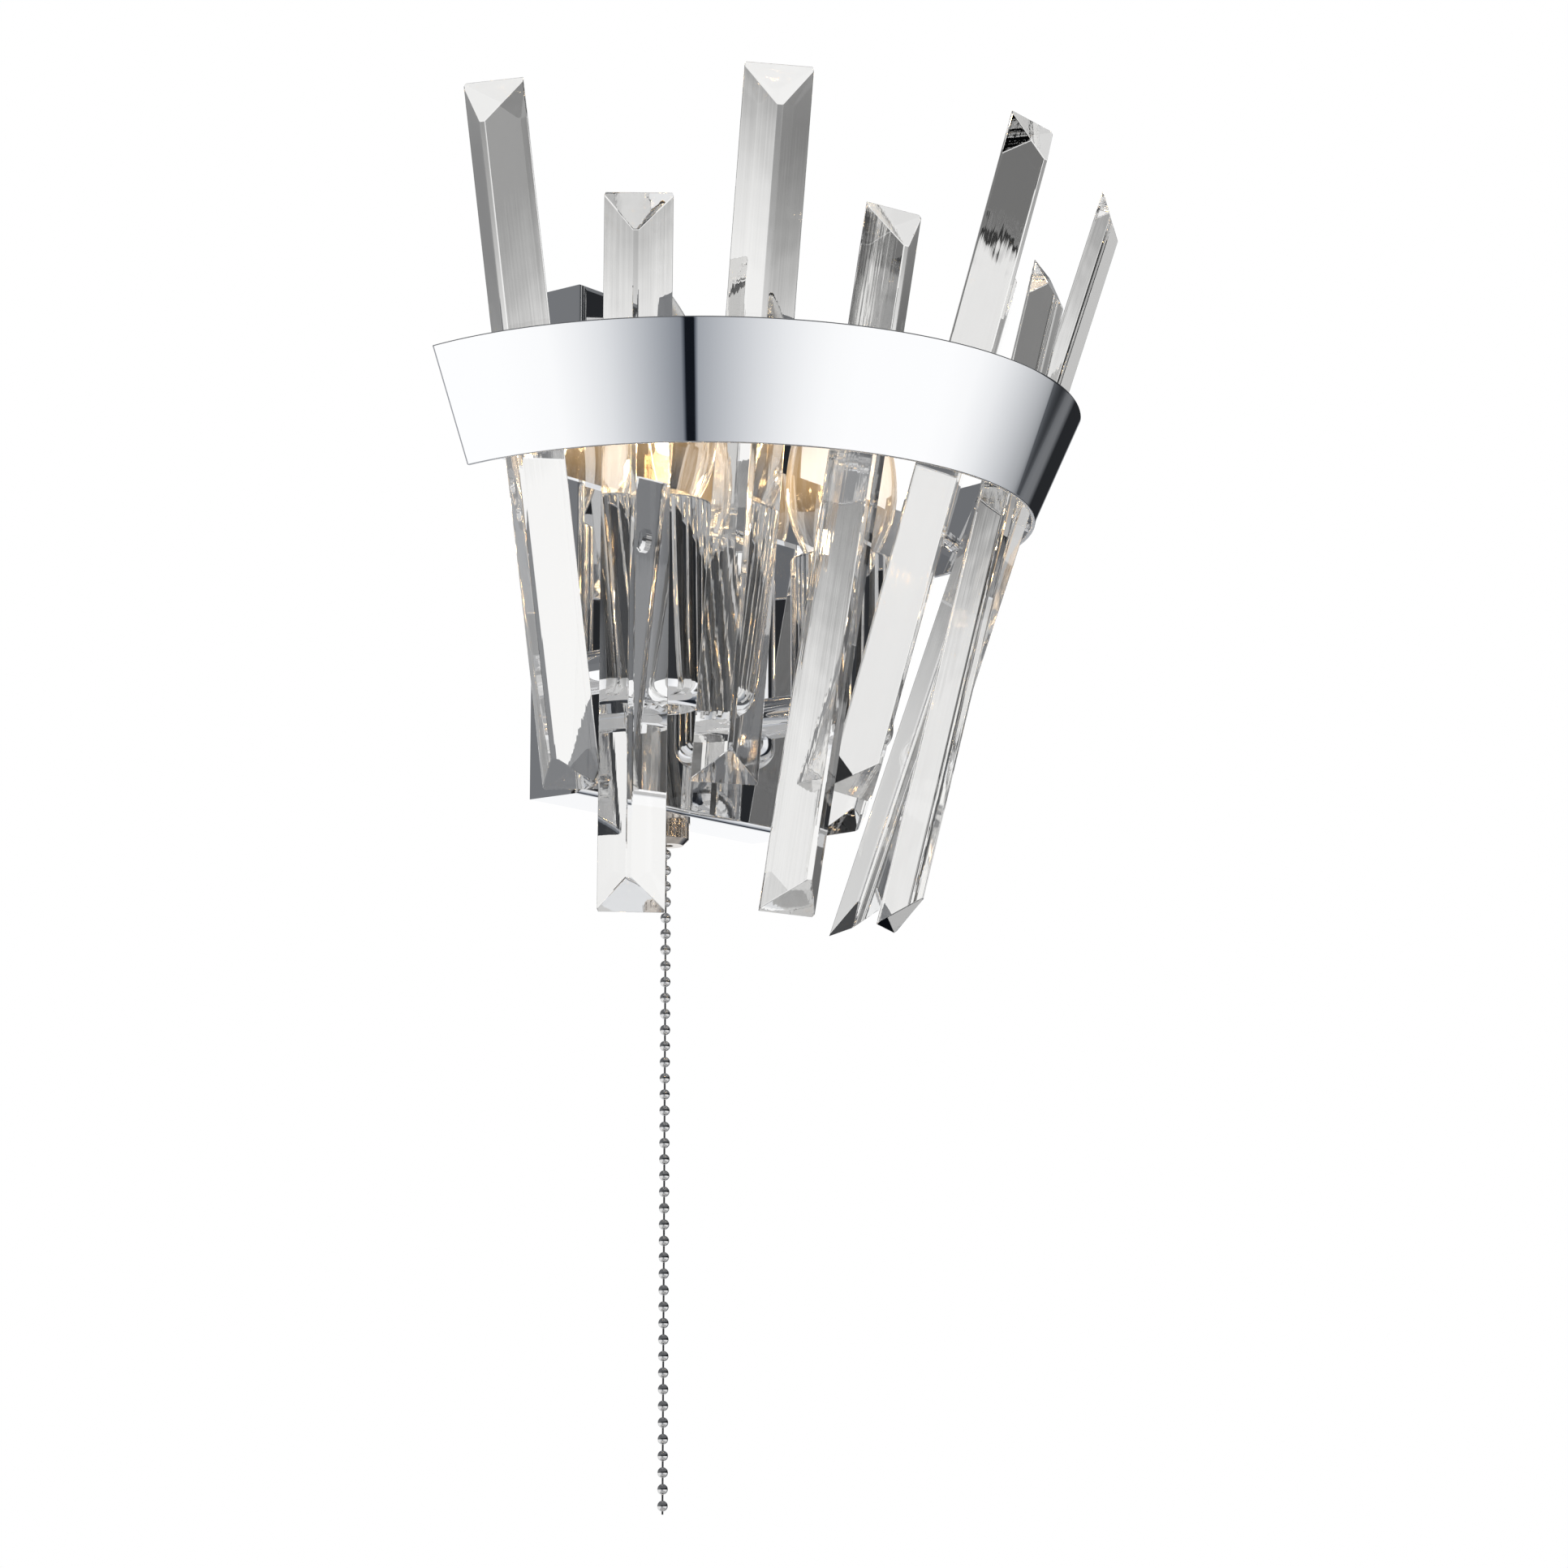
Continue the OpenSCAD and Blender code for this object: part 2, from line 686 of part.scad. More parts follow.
module hex_nut(r, bore_r, t) {
    difference() {
        cylinder(r = r, h = t, $fn = hex_sides);
        translate([0, 0, -over]) cylinder(r = bore_r, h = t + 2 * over);
    }
}

module bar_nuts() {
    color("gray") for (s = [-1, 1])
        translate([s * bar_screw_x, box_in_y, bar_mid_z]) rotate([-90, 0, 0])
            hex_nut(bar_nut_r, bar_screw_r, bar_nut_t);
}

module cup_profile() {
    inner = cup_r - cup_wall;
    polygon(concat(
        [[0, cup_low_z]],
        arc(cup_r - cup_round_r, cup_low_z + cup_round_r, cup_round_r, -90, 0, 10),
        [[cup_r, cup_rim_z], [inner, cup_rim_z],
         [inner, cup_ledge_z + cup_ledge_t], [inner - cup_ledge_in, cup_ledge_z + cup_ledge_t],
         [inner - cup_ledge_in, cup_ledge_z], [inner, cup_ledge_z - cup_ledge_in]],
        arc(cup_r - cup_round_r, cup_low_z + cup_round_r, cup_round_r - cup_wall, 0, -90, 10),
        [[0, cup_low_z + cup_wall]]));
}

module cup(side) {
    color("silver") difference() {
        at_lamp(side) rotate_extrude() cup_profile();
        y_rod(side * lamp_x, -lamp_d, nipple_z, nipple_r + nipple_play, cup_r + over);
    }
}

// Saddle-ended collars that space the cups off the box
module cup_saddles() {
    color("silver") for (s = [-1, 1]) difference() {
        y_rod(s * lamp_x, -lamp_d, nipple_z, saddle_r, lamp_d - box_d);
        y_rod(s * lamp_x, -lamp_d - over, nipple_z, nipple_r + nipple_play, lamp_d - box_d + 2 * over);
        at_lamp(s) translate([0, 0, nipple_z - cup_r]) cylinder(r = cup_r + saddle_gap, h = 2 * cup_r);
    }
}

nipple_front_y = -lamp_d + cup_r - cup_wall - nipple_nut_t - nipple_cup_tail;
nipple_back_y = box_in_y + nipple_nut_t + nipple_box_tail;

module cup_nipples() {
    length = nipple_back_y - nipple_front_y;
    color("goldenrod") for (s = [-1, 1]) difference() {
        y_rod(s * lamp_x, nipple_front_y, nipple_z, nipple_r, length);
        y_rod(s * lamp_x, nipple_front_y - over, nipple_z, nipple_bore_r, length + 2 * over);
    }
}

// One nut on each nipple inside the box, and one inside the cup, rounded to the cup's wall
module nipple_nuts() {
    color("goldenrod") for (s = [-1, 1]) {
        translate([s * lamp_x, box_in_y, nipple_z]) rotate([-90, 0, 0]) rotate([0, 0, 30])
            hex_nut(nipple_nut_r, nipple_r, nipple_nut_t);
        difference() {
            intersection() {
                y_rod(s * lamp_x, nipple_front_y + nipple_cup_tail, nipple_z, nipple_nut_r, 2 * nipple_nut_t);
                at_lamp(s) translate([0, 0, nipple_z - cup_r])
                    cylinder(r = cup_r - cup_wall - saddle_gap, h = 2 * cup_r);
            }
            y_rod(s * lamp_x, nipple_front_y, nipple_z, nipple_r, cup_r);
        }
    }
}

module lampholder(side) {
    bore = cap_r + cap_play;
    flange_top = holder_flange_z + holder_flange_t;
    color("whitesmoke") at_lamp(side) difference() {
        rotate_extrude() polygon([
            [contact_stem_r + cap_play, holder_low_z], [holder_r, holder_low_z], [holder_r, holder_flange_z],
            [holder_flange_r, holder_flange_z], [holder_flange_r, flange_top],
            [holder_neck_r, flange_top], [bore + cap_shell, holder_top_z], [bore, holder_top_z],
            [bore, holder_low_z + holder_floor], [contact_stem_r + cap_play, holder_low_z + holder_floor]]);
        for (k = [0 : holder_ribs - 1]) rotate([0, 0, k * 360 / holder_ribs])
            translate([holder_r, 0, holder_low_z - over])
                cylinder(r = holder_rib_r, h = holder_flange_z - holder_low_z, $fn = rib_sides);
    }
}

// Sprung centre contact on the floor of each lampholder
module holder_contacts() {
    floor_z = holder_low_z + holder_floor;
    top = cap_low_z - insulator_t - pip_t - pip_gap;
    color("goldenrod") for (s = [-1, 1]) at_lamp(s) {
        translate([0, 0, floor_z]) cylinder(r = contact_r, h = contact_t);
        translate([0, 0, floor_z]) cylinder(r = contact_stem_r, h = top - floor_z);
        translate([0, 0, holder_low_z + over / 2]) cylinder(r = contact_stem_r, h = holder_floor);
    }
}

function bulb_tip_ang(z) = 90 * (z - bulb_wide_z) / (bulb_tip_z - bulb_wide_z);
function bulb_neck_ang(z) = 90 * (bulb_wide_z - z) / (bulb_wide_z - glass_low_z);
function bulb_profile_r(z) = z > bulb_wide_z
    ? bulb_r * pow(max(cos(bulb_tip_ang(z)), 0), glass_tip_power_share)
    : glass_neck_r + (bulb_r - glass_neck_r) * pow(max(cos(bulb_neck_ang(z)), 0), glass_neck_power_share);
bulb_neck_zs = [for (k = [0 : glass_steps]) glass_low_z + (bulb_wide_z - glass_low_z) * k / glass_steps];
bulb_tip_zs = [for (k = [1 : glass_steps])
    bulb_wide_z + (bulb_tip_z - bulb_wide_z) * sin(90 * k / glass_steps)];
bulb_zs = concat(bulb_neck_zs, bulb_tip_zs);

module bulb_glass(side) {
    last = len(bulb_zs) - 1;
    outer = [for (z = bulb_zs) [bulb_profile_r(z), z]];
    inner = [for (k = [last - 1 : -1 : 0])
        [max(bulb_profile_r(bulb_zs[k]) - glass_t, glass_t / 4), bulb_zs[k]]];
    color("lightcyan", 0.4) at_lamp(side) rotate_extrude()
        polygon(concat(outer, [[0, bulb_tip_z - glass_t]], inner));
}

// Glass stem that carries the filament's wires
module bulb_stem(side) {
    color("lightcyan", 0.5) at_lamp(side) rotate_extrude() polygon([
        [0, glass_low_z], [stem_low_r, glass_low_z], [stem_r, glass_low_z + stem_r],
        [stem_top_r, stem_top_z - stem_top_r], [stem_top_r, stem_top_z], [0, stem_top_z]]);
}

module bulb_cap(side) {
    thread_low = cap_low_z + cap_thread_pitch / 2;
    threads = [for (k = [0 : cap_threads * 2])
        [k % 2 == 0 ? cap_root_r : cap_r, thread_low + k * cap_thread_pitch / 2]];
    pip_low = cap_low_z - insulator_t - pip_t;
    color("khaki") at_lamp(side) rotate_extrude() polygon(concat(
        [[0, pip_low], [pip_r, pip_low], [pip_r, cap_low_z - insulator_t],
         [insulator_low_r, cap_low_z - insulator_t], [cap_root_r, cap_low_z]],
        threads,
        [[cap_root_r, cap_top_z], [0, cap_top_z]]));
}

module filament(side) {
    color("orange") at_lamp(side) {
        for (s = [-1, 1]) wire([
            [s * wire_low_spread, 0, stem_top_z],
            [s * wire_low_spread, 0, wire_kink_z],
            [s * wire_spread, 0, filament_z]], wire_r, spring_sides);
        translate([-wire_spread, 0, filament_z]) rotate([0, 90, 0])
            cylinder(r = filament_r, h = 2 * wire_spread, $fn = small_sides);
    }
}

// Conical band over a little more than a half circle
module band() {
    color("gainsboro") translate([0, -band_centre_d, 0]) rotate([0, 0, 180 - band_wrap_ang])
        rotate_extrude(angle = 180 + 2 * band_wrap_ang) polygon([
            [band_in_r(band_low_z), band_low_z], [band_low_r, band_low_z],
            [band_top_r, band_top_z], [band_in_r(band_top_z), band_top_z]]);
}

// The most tilted crystals pass inside the band's bottom edge and outside the feet of the cups, and
// the most upright one's outer edge just clears the band's bottom edge
crystal_edge_t = crystal_t - crystal_bevel * crystal_t / norm([crystal_t, crystal_w / 2]);
crystal_full_lean = min(crystal_lean_ang,
    atan((band_in_low_r - crystal_t - crystal_cup_gap - lamp_reach) / (band_low_z - cup_low_z)));
crystal_least_lean = crystal_full_lean * min(crystal_lean_share);
crystal_ring_r = band_in_low_r - crystal_band_gap + band_h / 2 * tan(crystal_least_lean)
    - crystal_edge_t / cos(crystal_least_lean);
function crystal_ang(i) = crystal_first_ang + (i - 1) * crystal_step_ang;
function crystal_lean(i) = crystal_full_lean * crystal_lean_share[i - 1];

// Frame of one crystal: its screw on the X axis pointing outwards, its back on the plane x = 0
module at_crystal(i) {
    translate([0, -band_centre_d, band_mid_z])
        rotate([0, 0, 180 + crystal_ang(i)])
            translate([crystal_ring_r, 0, 0])
                rotate([0, 0, crystal_turn[i - 1]])
                    rotate([0, crystal_lean(i), 0])
                        rotate([-crystal_sway[i - 1], 0, 0])
                            children();
}

function bevel_pair(v, a, b) = [v + crystal_bevel * unit(a - v), v + crystal_bevel * unit(b - v)];

// Triangular section with its three long edges bevelled
module crystal_section() {
    p = [[0, -crystal_w / 2], [crystal_t, 0], [0, crystal_w / 2]];
    polygon(concat(bevel_pair(p[0], p[2], p[1]), bevel_pair(p[1], p[0], p[2]), bevel_pair(p[2], p[1], p[0])));
}

// A prism whose ends are cut back towards the outer edge, drilled for its screw
module crystal(i) {
    drop = i % 2 == 1 ? crystal_high_drop : crystal_low_drop;
    cut_ang = atan(crystal_end_cut / crystal_t);
    cutter = crystal_len / 2;
    color("aliceblue", 0.5) at_crystal(i) difference() {
        translate([0, 0, -drop - crystal_len / 2]) linear_extrude(crystal_len) crystal_section();
        for (s = [-1, 1]) translate([0, -crystal_w, -drop + s * crystal_len / 2])
            rotate([0, s * cut_ang, 0]) translate([-cutter, 0, s > 0 ? 0 : -cutter])
                cube([2 * cutter, 2 * crystal_w, cutter]);
        translate([-over, 0, 0]) rotate([0, 90, 0]) cylinder(r = crystal_hole_r, h = crystal_t + 2 * over);
    }
}

// Standoff's length, from the crystal's outer edge to the band along the screw
function standoff_len(i) =
    let (lean = crystal_lean(i), turn = crystal_turn[i - 1],
         reach = (band_in_r(band_mid_z) - crystal_ring_r) / (cos(lean) * cos(turn) + band_slope * sin(lean)),
         tilt = norm([atan(band_slope) - lean, turn]))
    reach - standoff_r * tan(tilt) - standoff_weld_gap - crystal_t - standoff_gap;

// Threaded standoffs on the band's inner face, one for each crystal's screw
module crystal_standoffs() {
    color("silver") for (i = [1 : crystal_count]) at_crystal(i)
        translate([crystal_t + standoff_gap, 0, 0]) rotate([0, 90, 0]) difference() {
            cylinder(r = standoff_r, h = standoff_len(i));
            translate([0, 0, -over]) cylinder(r = crystal_screw_r, h = standoff_len(i) + 2 * over);
        }
}

module crystal_screws() {
    color("silver") for (i = [1 : crystal_count]) at_crystal(i) {
        translate([-washer_t, 0, 0]) rotate([0, -90, 0]) difference() {
            cylinder(r = crystal_head_r, h = crystal_head_t);
            translate([0, 0, crystal_head_t - driver_t])
                cylinder(r = driver_r, h = driver_t + over, $fn = hex_sides);
        }
        translate([-washer_t, 0, 0]) rotate([0, 90, 0])
            cylinder(r = crystal_screw_r, h = washer_t + crystal_t + standoff_gap + standoff_len(i));
    }
}

module crystal_washers() {
    color("whitesmoke") for (i = [1 : crystal_count]) at_crystal(i)
        translate([-washer_t, 0, 0]) rotate([0, 90, 0]) difference() {
            cylinder(r = washer_r, h = washer_t);
            translate([0, 0, -over]) cylinder(r = crystal_screw_r, h = washer_t + 2 * over);
        }
}

wall_bracket();
wall_box();
box_screws();
earth_screw();
terminal_block();
terminal_screws();
lamp_leads();
switch_leads();
switch_case();
switch_lid();
switch_collar();
switch_contacts();
switch_axle();
switch_rocker();
pull_slider();
pull_spring();
chain_beads();
chain_links();
back_bar();
bar_screws();
bar_nuts();
cup(-1);  // cup_left
cup(1);  // cup_right
cup_saddles();
cup_nipples();
nipple_nuts();
lampholder(-1);  // lampholder_left
lampholder(1);  // lampholder_right
holder_contacts();
bulb_glass(-1);  // bulb_glass_left
bulb_glass(1);  // bulb_glass_right
bulb_stem(-1);  // bulb_stem_left
bulb_stem(1);  // bulb_stem_right
bulb_cap(-1);  // bulb_cap_left
bulb_cap(1);  // bulb_cap_right
filament(-1);  // filament_left
filament(1);  // filament_right
band();
crystal_standoffs();
crystal_screws();
crystal_washers();
for (i = [1 : crystal_count])
    crystal(i);
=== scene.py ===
from math import atan, cos, pi, radians, sin, tan

import bpy
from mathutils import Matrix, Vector


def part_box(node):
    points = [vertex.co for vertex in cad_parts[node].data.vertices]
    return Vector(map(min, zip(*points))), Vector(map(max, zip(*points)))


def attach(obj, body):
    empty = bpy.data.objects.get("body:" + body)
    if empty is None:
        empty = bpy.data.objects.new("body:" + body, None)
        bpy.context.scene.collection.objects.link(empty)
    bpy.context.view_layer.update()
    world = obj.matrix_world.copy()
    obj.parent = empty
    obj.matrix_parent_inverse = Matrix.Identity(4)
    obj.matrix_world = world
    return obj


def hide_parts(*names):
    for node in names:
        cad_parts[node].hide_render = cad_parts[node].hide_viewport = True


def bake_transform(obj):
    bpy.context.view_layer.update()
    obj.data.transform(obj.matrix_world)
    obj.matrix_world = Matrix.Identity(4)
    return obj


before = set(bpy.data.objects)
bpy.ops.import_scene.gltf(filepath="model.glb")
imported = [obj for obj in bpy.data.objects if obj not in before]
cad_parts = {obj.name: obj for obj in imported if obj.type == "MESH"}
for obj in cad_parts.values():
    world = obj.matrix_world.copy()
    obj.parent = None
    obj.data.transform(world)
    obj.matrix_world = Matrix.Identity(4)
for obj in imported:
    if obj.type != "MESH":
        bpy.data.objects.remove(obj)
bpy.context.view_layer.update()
MM = 0.001

# Wall bracket
# Zinc-plated strip with turned tabs that is screwed to the wall and carries the wall box,
# with the same plating on the switch's axle and on the nuts inside the box.
zinc_pale, zinc_dark = (0.66, 0.68, 0.70), (0.47, 0.49, 0.51)
zinc_patch, zinc_grain, zinc_grain_depth = 9 * MM, 0.6 * MM, 0.01 * MM

# nearly all of the noise's values lie between these two
noise_low, noise_high = 0.3, 0.7


def principled(material):
    """The shader that holds a material's finish."""
    return material.node_tree.nodes["Principled BSDF"]


def mottle(material, size, squeeze=(1, 1, 1), detail=4):
    """Noise on Object coordinates, in patches of that size in metres, squeezed along each axis."""
    nodes, links = material.node_tree.nodes, material.node_tree.links
    where = nodes.new("ShaderNodeTexCoord")
    sized = nodes.new("ShaderNodeMapping")
    sized.inputs["Scale"].default_value = [times / size for times in squeeze]
    noise = nodes.new("ShaderNodeTexNoise")
    noise.inputs["Scale"].default_value = 1
    noise.inputs["Detail"].default_value = detail
    links.new(where.outputs["Object"], sized.inputs["Vector"])
    links.new(sized.outputs["Vector"], noise.inputs["Vector"])
    return noise


def new_finish(name, colour, roughness, patch, metal=0, squeeze=(1, 1, 1)):
    """A finish whose roughness wanders between two values, in patches of that size."""
    material = bpy.data.materials.new(name)
    material.use_nodes = True
    links, shader = material.node_tree.links, principled(material)
    shader.inputs["Base Color"].default_value = (*colour, 1)
    shader.inputs["Metallic"].default_value = metal
    spread = material.node_tree.nodes.new("ShaderNodeMapRange")
    spread.inputs["From Min"].default_value = noise_low
    spread.inputs["From Max"].default_value = noise_high
    spread.inputs["To Min"].default_value = roughness[0]
    spread.inputs["To Max"].default_value = roughness[1]
    links.new(mottle(material, patch, squeeze).outputs["Fac"], spread.inputs["Value"])
    links.new(spread.outputs["Result"], shader.inputs["Roughness"])
    return material


def tint(material, noise, dark, pale):
    """The noise moves the base colour between two colours."""
    nodes, links = material.node_tree.nodes, material.node_tree.links
    ramp = nodes.new("ShaderNodeValToRGB")
    first, last = ramp.color_ramp.elements
    first.position = noise_low
    first.color = (*dark, 1)
    last.position = noise_high
    last.color = (*pale, 1)
    links.new(noise.outputs["Fac"], ramp.inputs["Fac"])
    links.new(ramp.outputs["Color"], principled(material).inputs["Base Color"])


def emboss(material, noise, depth):
    """The noise raises and lowers the surface by that depth in metres, over any relief it has."""
    nodes, links = material.node_tree.nodes, material.node_tree.links
    surface = principled(material).inputs["Normal"]
    bump = nodes.new("ShaderNodeBump")
    bump.inputs["Strength"].default_value = 1
    bump.inputs["Distance"].default_value = depth
    for relief in surface.links:
        links.new(relief.from_socket, bump.inputs["Normal"])
    links.new(noise.outputs["Fac"], bump.inputs["Height"])
    links.new(bump.outputs["Normal"], surface)


def paint(material, *nodes):
    """Gives CAD nodes this material."""
    for name in nodes:
        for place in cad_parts[name].material_slots:
            place.material = material


zinc = new_finish("zinc_plate", zinc_pale, metal=1, roughness=(0.34, 0.52), patch=zinc_patch)
tint(zinc, mottle(zinc, zinc_patch), zinc_dark, zinc_pale)
emboss(zinc, mottle(zinc, zinc_grain), zinc_grain_depth)
paint(zinc, "wall_bracket", "switch_axle", "bar_nuts")

# Terminal block and leads
# Ivory moulded block with steel screws on the bracket's tongue, a brass earth screw beside it,
# and soft sheathed leads that run from it to the lamps and the switch.
ivory = new_finish("ivory_moulding", (0.80, 0.77, 0.66), roughness=(0.38, 0.55), patch=3 * MM)
paint(ivory, "terminal_block")

screw_steel = new_finish("screw_steel", (0.70, 0.71, 0.72), metal=1, roughness=(0.22, 0.4), patch=1.2 * MM)
paint(screw_steel, "terminal_screws")

turning_marks = (1, 1, 6)
brass = new_finish("turned_brass", (0.80, 0.58, 0.26), metal=1, roughness=(0.18, 0.36), patch=2 * MM,
                   squeeze=turning_marks)
paint(brass, "earth_screw", "switch_contacts", "cup_nipples", "nipple_nuts", "holder_contacts")

black_sheath = new_finish("black_sheath", (0.02, 0.02, 0.02), roughness=(0.42, 0.6), patch=4 * MM)
paint(black_sheath, "lamp_leads")

brown_sheath = new_finish("brown_sheath", (0.16, 0.07, 0.03), roughness=(0.42, 0.6), patch=4 * MM)
paint(brown_sheath, "switch_leads")

# Wall box
# Bent sheet-steel box in mirror chrome, open towards the wall, held by a screw in each side.
chrome_colour = (0.835, 0.84, 0.85)
chrome_haze = (0.006, 0.03)
haze_patch, sheet_wave = 14 * MM, 30 * MM


def chrome_plate(name, waviness):
    """Mirror chrome with a faint haze, on sheet that is uneven by that depth."""
    material = new_finish(name, chrome_colour, metal=1, roughness=chrome_haze, patch=haze_patch)
    emboss(material, mottle(material, sheet_wave, detail=1), waviness)
    return material


box_chrome = chrome_plate("box_chrome", waviness=0.01 * MM)
paint(box_chrome, "wall_box", "box_screws")

# Pull switch
# Black moulded switch in the foot of the box, with a white slider and rocker, a wire spring,
# and a ribbed nickel ring nut on its neck, from whose mouth the chain hangs.
switch_black = new_finish("switch_moulding", (0.018, 0.018, 0.019), roughness=(0.34, 0.5), patch=2 * MM)
paint(switch_black, "switch_case", "switch_lid")

switch_white = new_finish("slider_moulding", (0.78, 0.78, 0.75), roughness=(0.3, 0.45), patch=2 * MM)
paint(switch_white, "switch_rocker", "pull_slider")

spring_wire = new_finish("spring_wire", (0.5, 0.51, 0.53), metal=1, roughness=(0.25, 0.4), patch=1 * MM)
switch_y = -8.5 * MM
spring_r, spring_wire_r, spring_turns = 2.6 * MM, 0.35 * MM, 7
spring_low_z, spring_top_z = (corner[2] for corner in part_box("pull_spring"))
wire_sides, steps_a_turn = 8, 16


def new_piece(name):
    """The active object, with that name on it and on its mesh."""
    piece = bpy.context.object
    piece.name = piece.data.name = name
    return piece


def start_fresh():
    """Nothing selected, so that the next operator acts on the next shape alone."""
    bpy.ops.object.select_all(action="DESELECT")


def wound(name, radius, wire_r, turns, length):
    """A wire coiled about the upright axis, from the origin up."""
    start_fresh()
    bpy.ops.mesh.primitive_circle_add(
        vertices=wire_sides, radius=wire_r, location=(radius, 0, 0), rotation=(pi / 2, 0, 0))
    coil = new_piece(name)
    bpy.ops.object.transform_apply(location=True, rotation=True)
    winding = coil.modifiers.new("winding", "SCREW")
    winding.axis = "Z"
    winding.angle = 2 * pi * turns
    winding.steps = winding.render_steps = steps_a_turn * turns
    winding.screw_offset = length
    bpy.ops.object.modifier_apply(modifier=winding.name)
    bpy.ops.object.mode_set(mode="EDIT")
    bpy.ops.mesh.select_all(action="SELECT")
    bpy.ops.mesh.fill_holes(sides=wire_sides)
    bpy.ops.mesh.normals_make_consistent(inside=False)
    bpy.ops.object.mode_set(mode="OBJECT")
    bpy.ops.object.shade_smooth_by_angle(angle=radians(50))
    return coil


def dress(piece, material, slot_name, *nodes):
    """Gives a piece its material and hides the CAD nodes it stands for; slot_name is not used."""
    piece.data.materials.clear()
    piece.data.materials.append(material)
    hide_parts(*nodes)


# its foot stands on the floor of the case; in the switch its head goes down with the slider, but this coil
# is built at rest
spring = wound("return_spring", spring_r, spring_wire_r, spring_turns,
               spring_top_z - spring_low_z - 2 * spring_wire_r)
bpy.ops.transform.translate(value=(0, switch_y, spring_low_z + spring_wire_r))
bpy.ops.object.transform_apply(location=True)
dress(spring, spring_wire, "spring_steel", "pull_spring")
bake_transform(spring)

nickel_pale, nickel_dark = (0.68, 0.63, 0.58), (0.46, 0.42, 0.38)
nickel_patch = 2.5 * MM
nickel = new_finish("collar_nickel", nickel_pale, metal=1, roughness=(0.1, 0.22), patch=nickel_patch)
tint(nickel, mottle(nickel, nickel_patch), nickel_dark, nickel_pale)
paint(nickel, "switch_collar")

# Ball chain
# Nickel-plated hollow beads, each pierced top and bottom, threaded on short wire links;
# 41 beads hang below the collar and the last wire ends just under the last bead.
bead_radius, bead_pitch, bead_count = 1.6 * MM, 4.88 * MM, 41
pierced_angle, hole_rim, hole_depth = 0.3, 0.1 * MM, 0.12 * MM
first_bead_z = -88.3 * MM
wire_radius, wire_end_z = 0.3 * MM, -286 * MM
link_sides = 10


def choose_faces(piece, chosen):
    """Edit mode, with only the chosen faces selected."""
    bpy.ops.object.mode_set(mode="EDIT")
    bpy.context.tool_settings.mesh_select_mode = (False, False, True)
    bpy.ops.mesh.select_all(action="DESELECT")
    bpy.ops.object.mode_set(mode="OBJECT")
    for face in piece.data.polygons:
        face.select = chosen(face)
    bpy.ops.object.mode_set(mode="EDIT")


def copied(shape):
    """A copy of that object with its own mesh, selected and active."""
    start_fresh()
    shape.select_set(True)
    bpy.context.view_layer.objects.active = shape
    bpy.ops.object.duplicate()
    return bpy.context.object


def join_into_first(parts):
    """Makes the parts one object, the first of them."""
    start_fresh()
    for part in parts:
        part.select_set(True)
    bpy.context.view_layer.objects.active = parts[0]
    bpy.ops.object.join()


start_fresh()
bpy.ops.mesh.primitive_uv_sphere_add(
    segments=24, ring_count=14, radius=bead_radius, location=(0, switch_y, first_bead_z))
bead = new_piece("bead")
choose_faces(bead, lambda face: abs(face.center.z) > bead_radius * cos(pierced_angle))
bpy.ops.mesh.inset(thickness=hole_rim, depth=-hole_depth)
bpy.ops.object.mode_set(mode="OBJECT")
bpy.ops.object.transform_apply(location=True)

start_fresh()
link_length = bead_pitch - 2 * bead_radius + 4 * wire_radius
bpy.ops.mesh.primitive_cylinder_add(
    vertices=link_sides, radius=wire_radius, depth=link_length,
    location=(0, switch_y, first_bead_z + bead_pitch / 2))
link = new_piece("link")
bpy.ops.object.transform_apply(location=True)

chain_parts = []
for number in range(bead_count):
    for shape in (bead, link):
        chain_parts.append(copied(shape))
        bpy.ops.transform.translate(value=(0, 0, -number * bead_pitch))
for shape in (bead, link):
    bpy.data.objects.remove(shape)
start_fresh()
tail_length = 3 * wire_radius + bead_pitch / 4
bpy.ops.mesh.primitive_cylinder_add(
    vertices=link_sides, radius=wire_radius, depth=tail_length,
    location=(0, switch_y, wire_end_z + tail_length / 2))
chain_parts.append(bpy.context.object)
join_into_first(chain_parts)
chain = new_piece("ball_chain")
bpy.ops.object.transform_apply(location=True)
bpy.ops.object.shade_smooth_by_angle(angle=radians(50))

chain_nickel = new_finish("chain_nickel", (0.62, 0.62, 0.62), metal=1, roughness=(0.05, 0.14),
                          patch=1.5 * MM)
paint(chain_nickel, "chain_beads", "chain_links")
dress(chain, chain_nickel, "chain_nickel", "chain_beads", "chain_links")
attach(chain, "pull")

# Back bar and band
# A flat chrome bar is bolted across the box, and a conical chrome band of 1.2 mm sheet
# goes a little more than half round from one end of the bar to the other.
bar_chrome = chrome_plate("bar_chrome", waviness=0.01 * MM)
paint(bar_chrome, "back_bar", "bar_screws")

band_low_r, band_top_r = 101 * MM, 115.5 * MM
band_low_z, band_top_z = 12 * MM, 44.5 * MM
band_centre_y = -23.6 * MM
band_sheet = 1.2 * MM
band_wrap = radians(3.7)
band_edge_r = 0.3 * MM
# the first value is the width of the painted dark strip at each end of the band
band_shaded_strip, band_end_share = 0.5 * MM, 0.9
band_rim_slope = 0.6
weld = 0.001 * MM


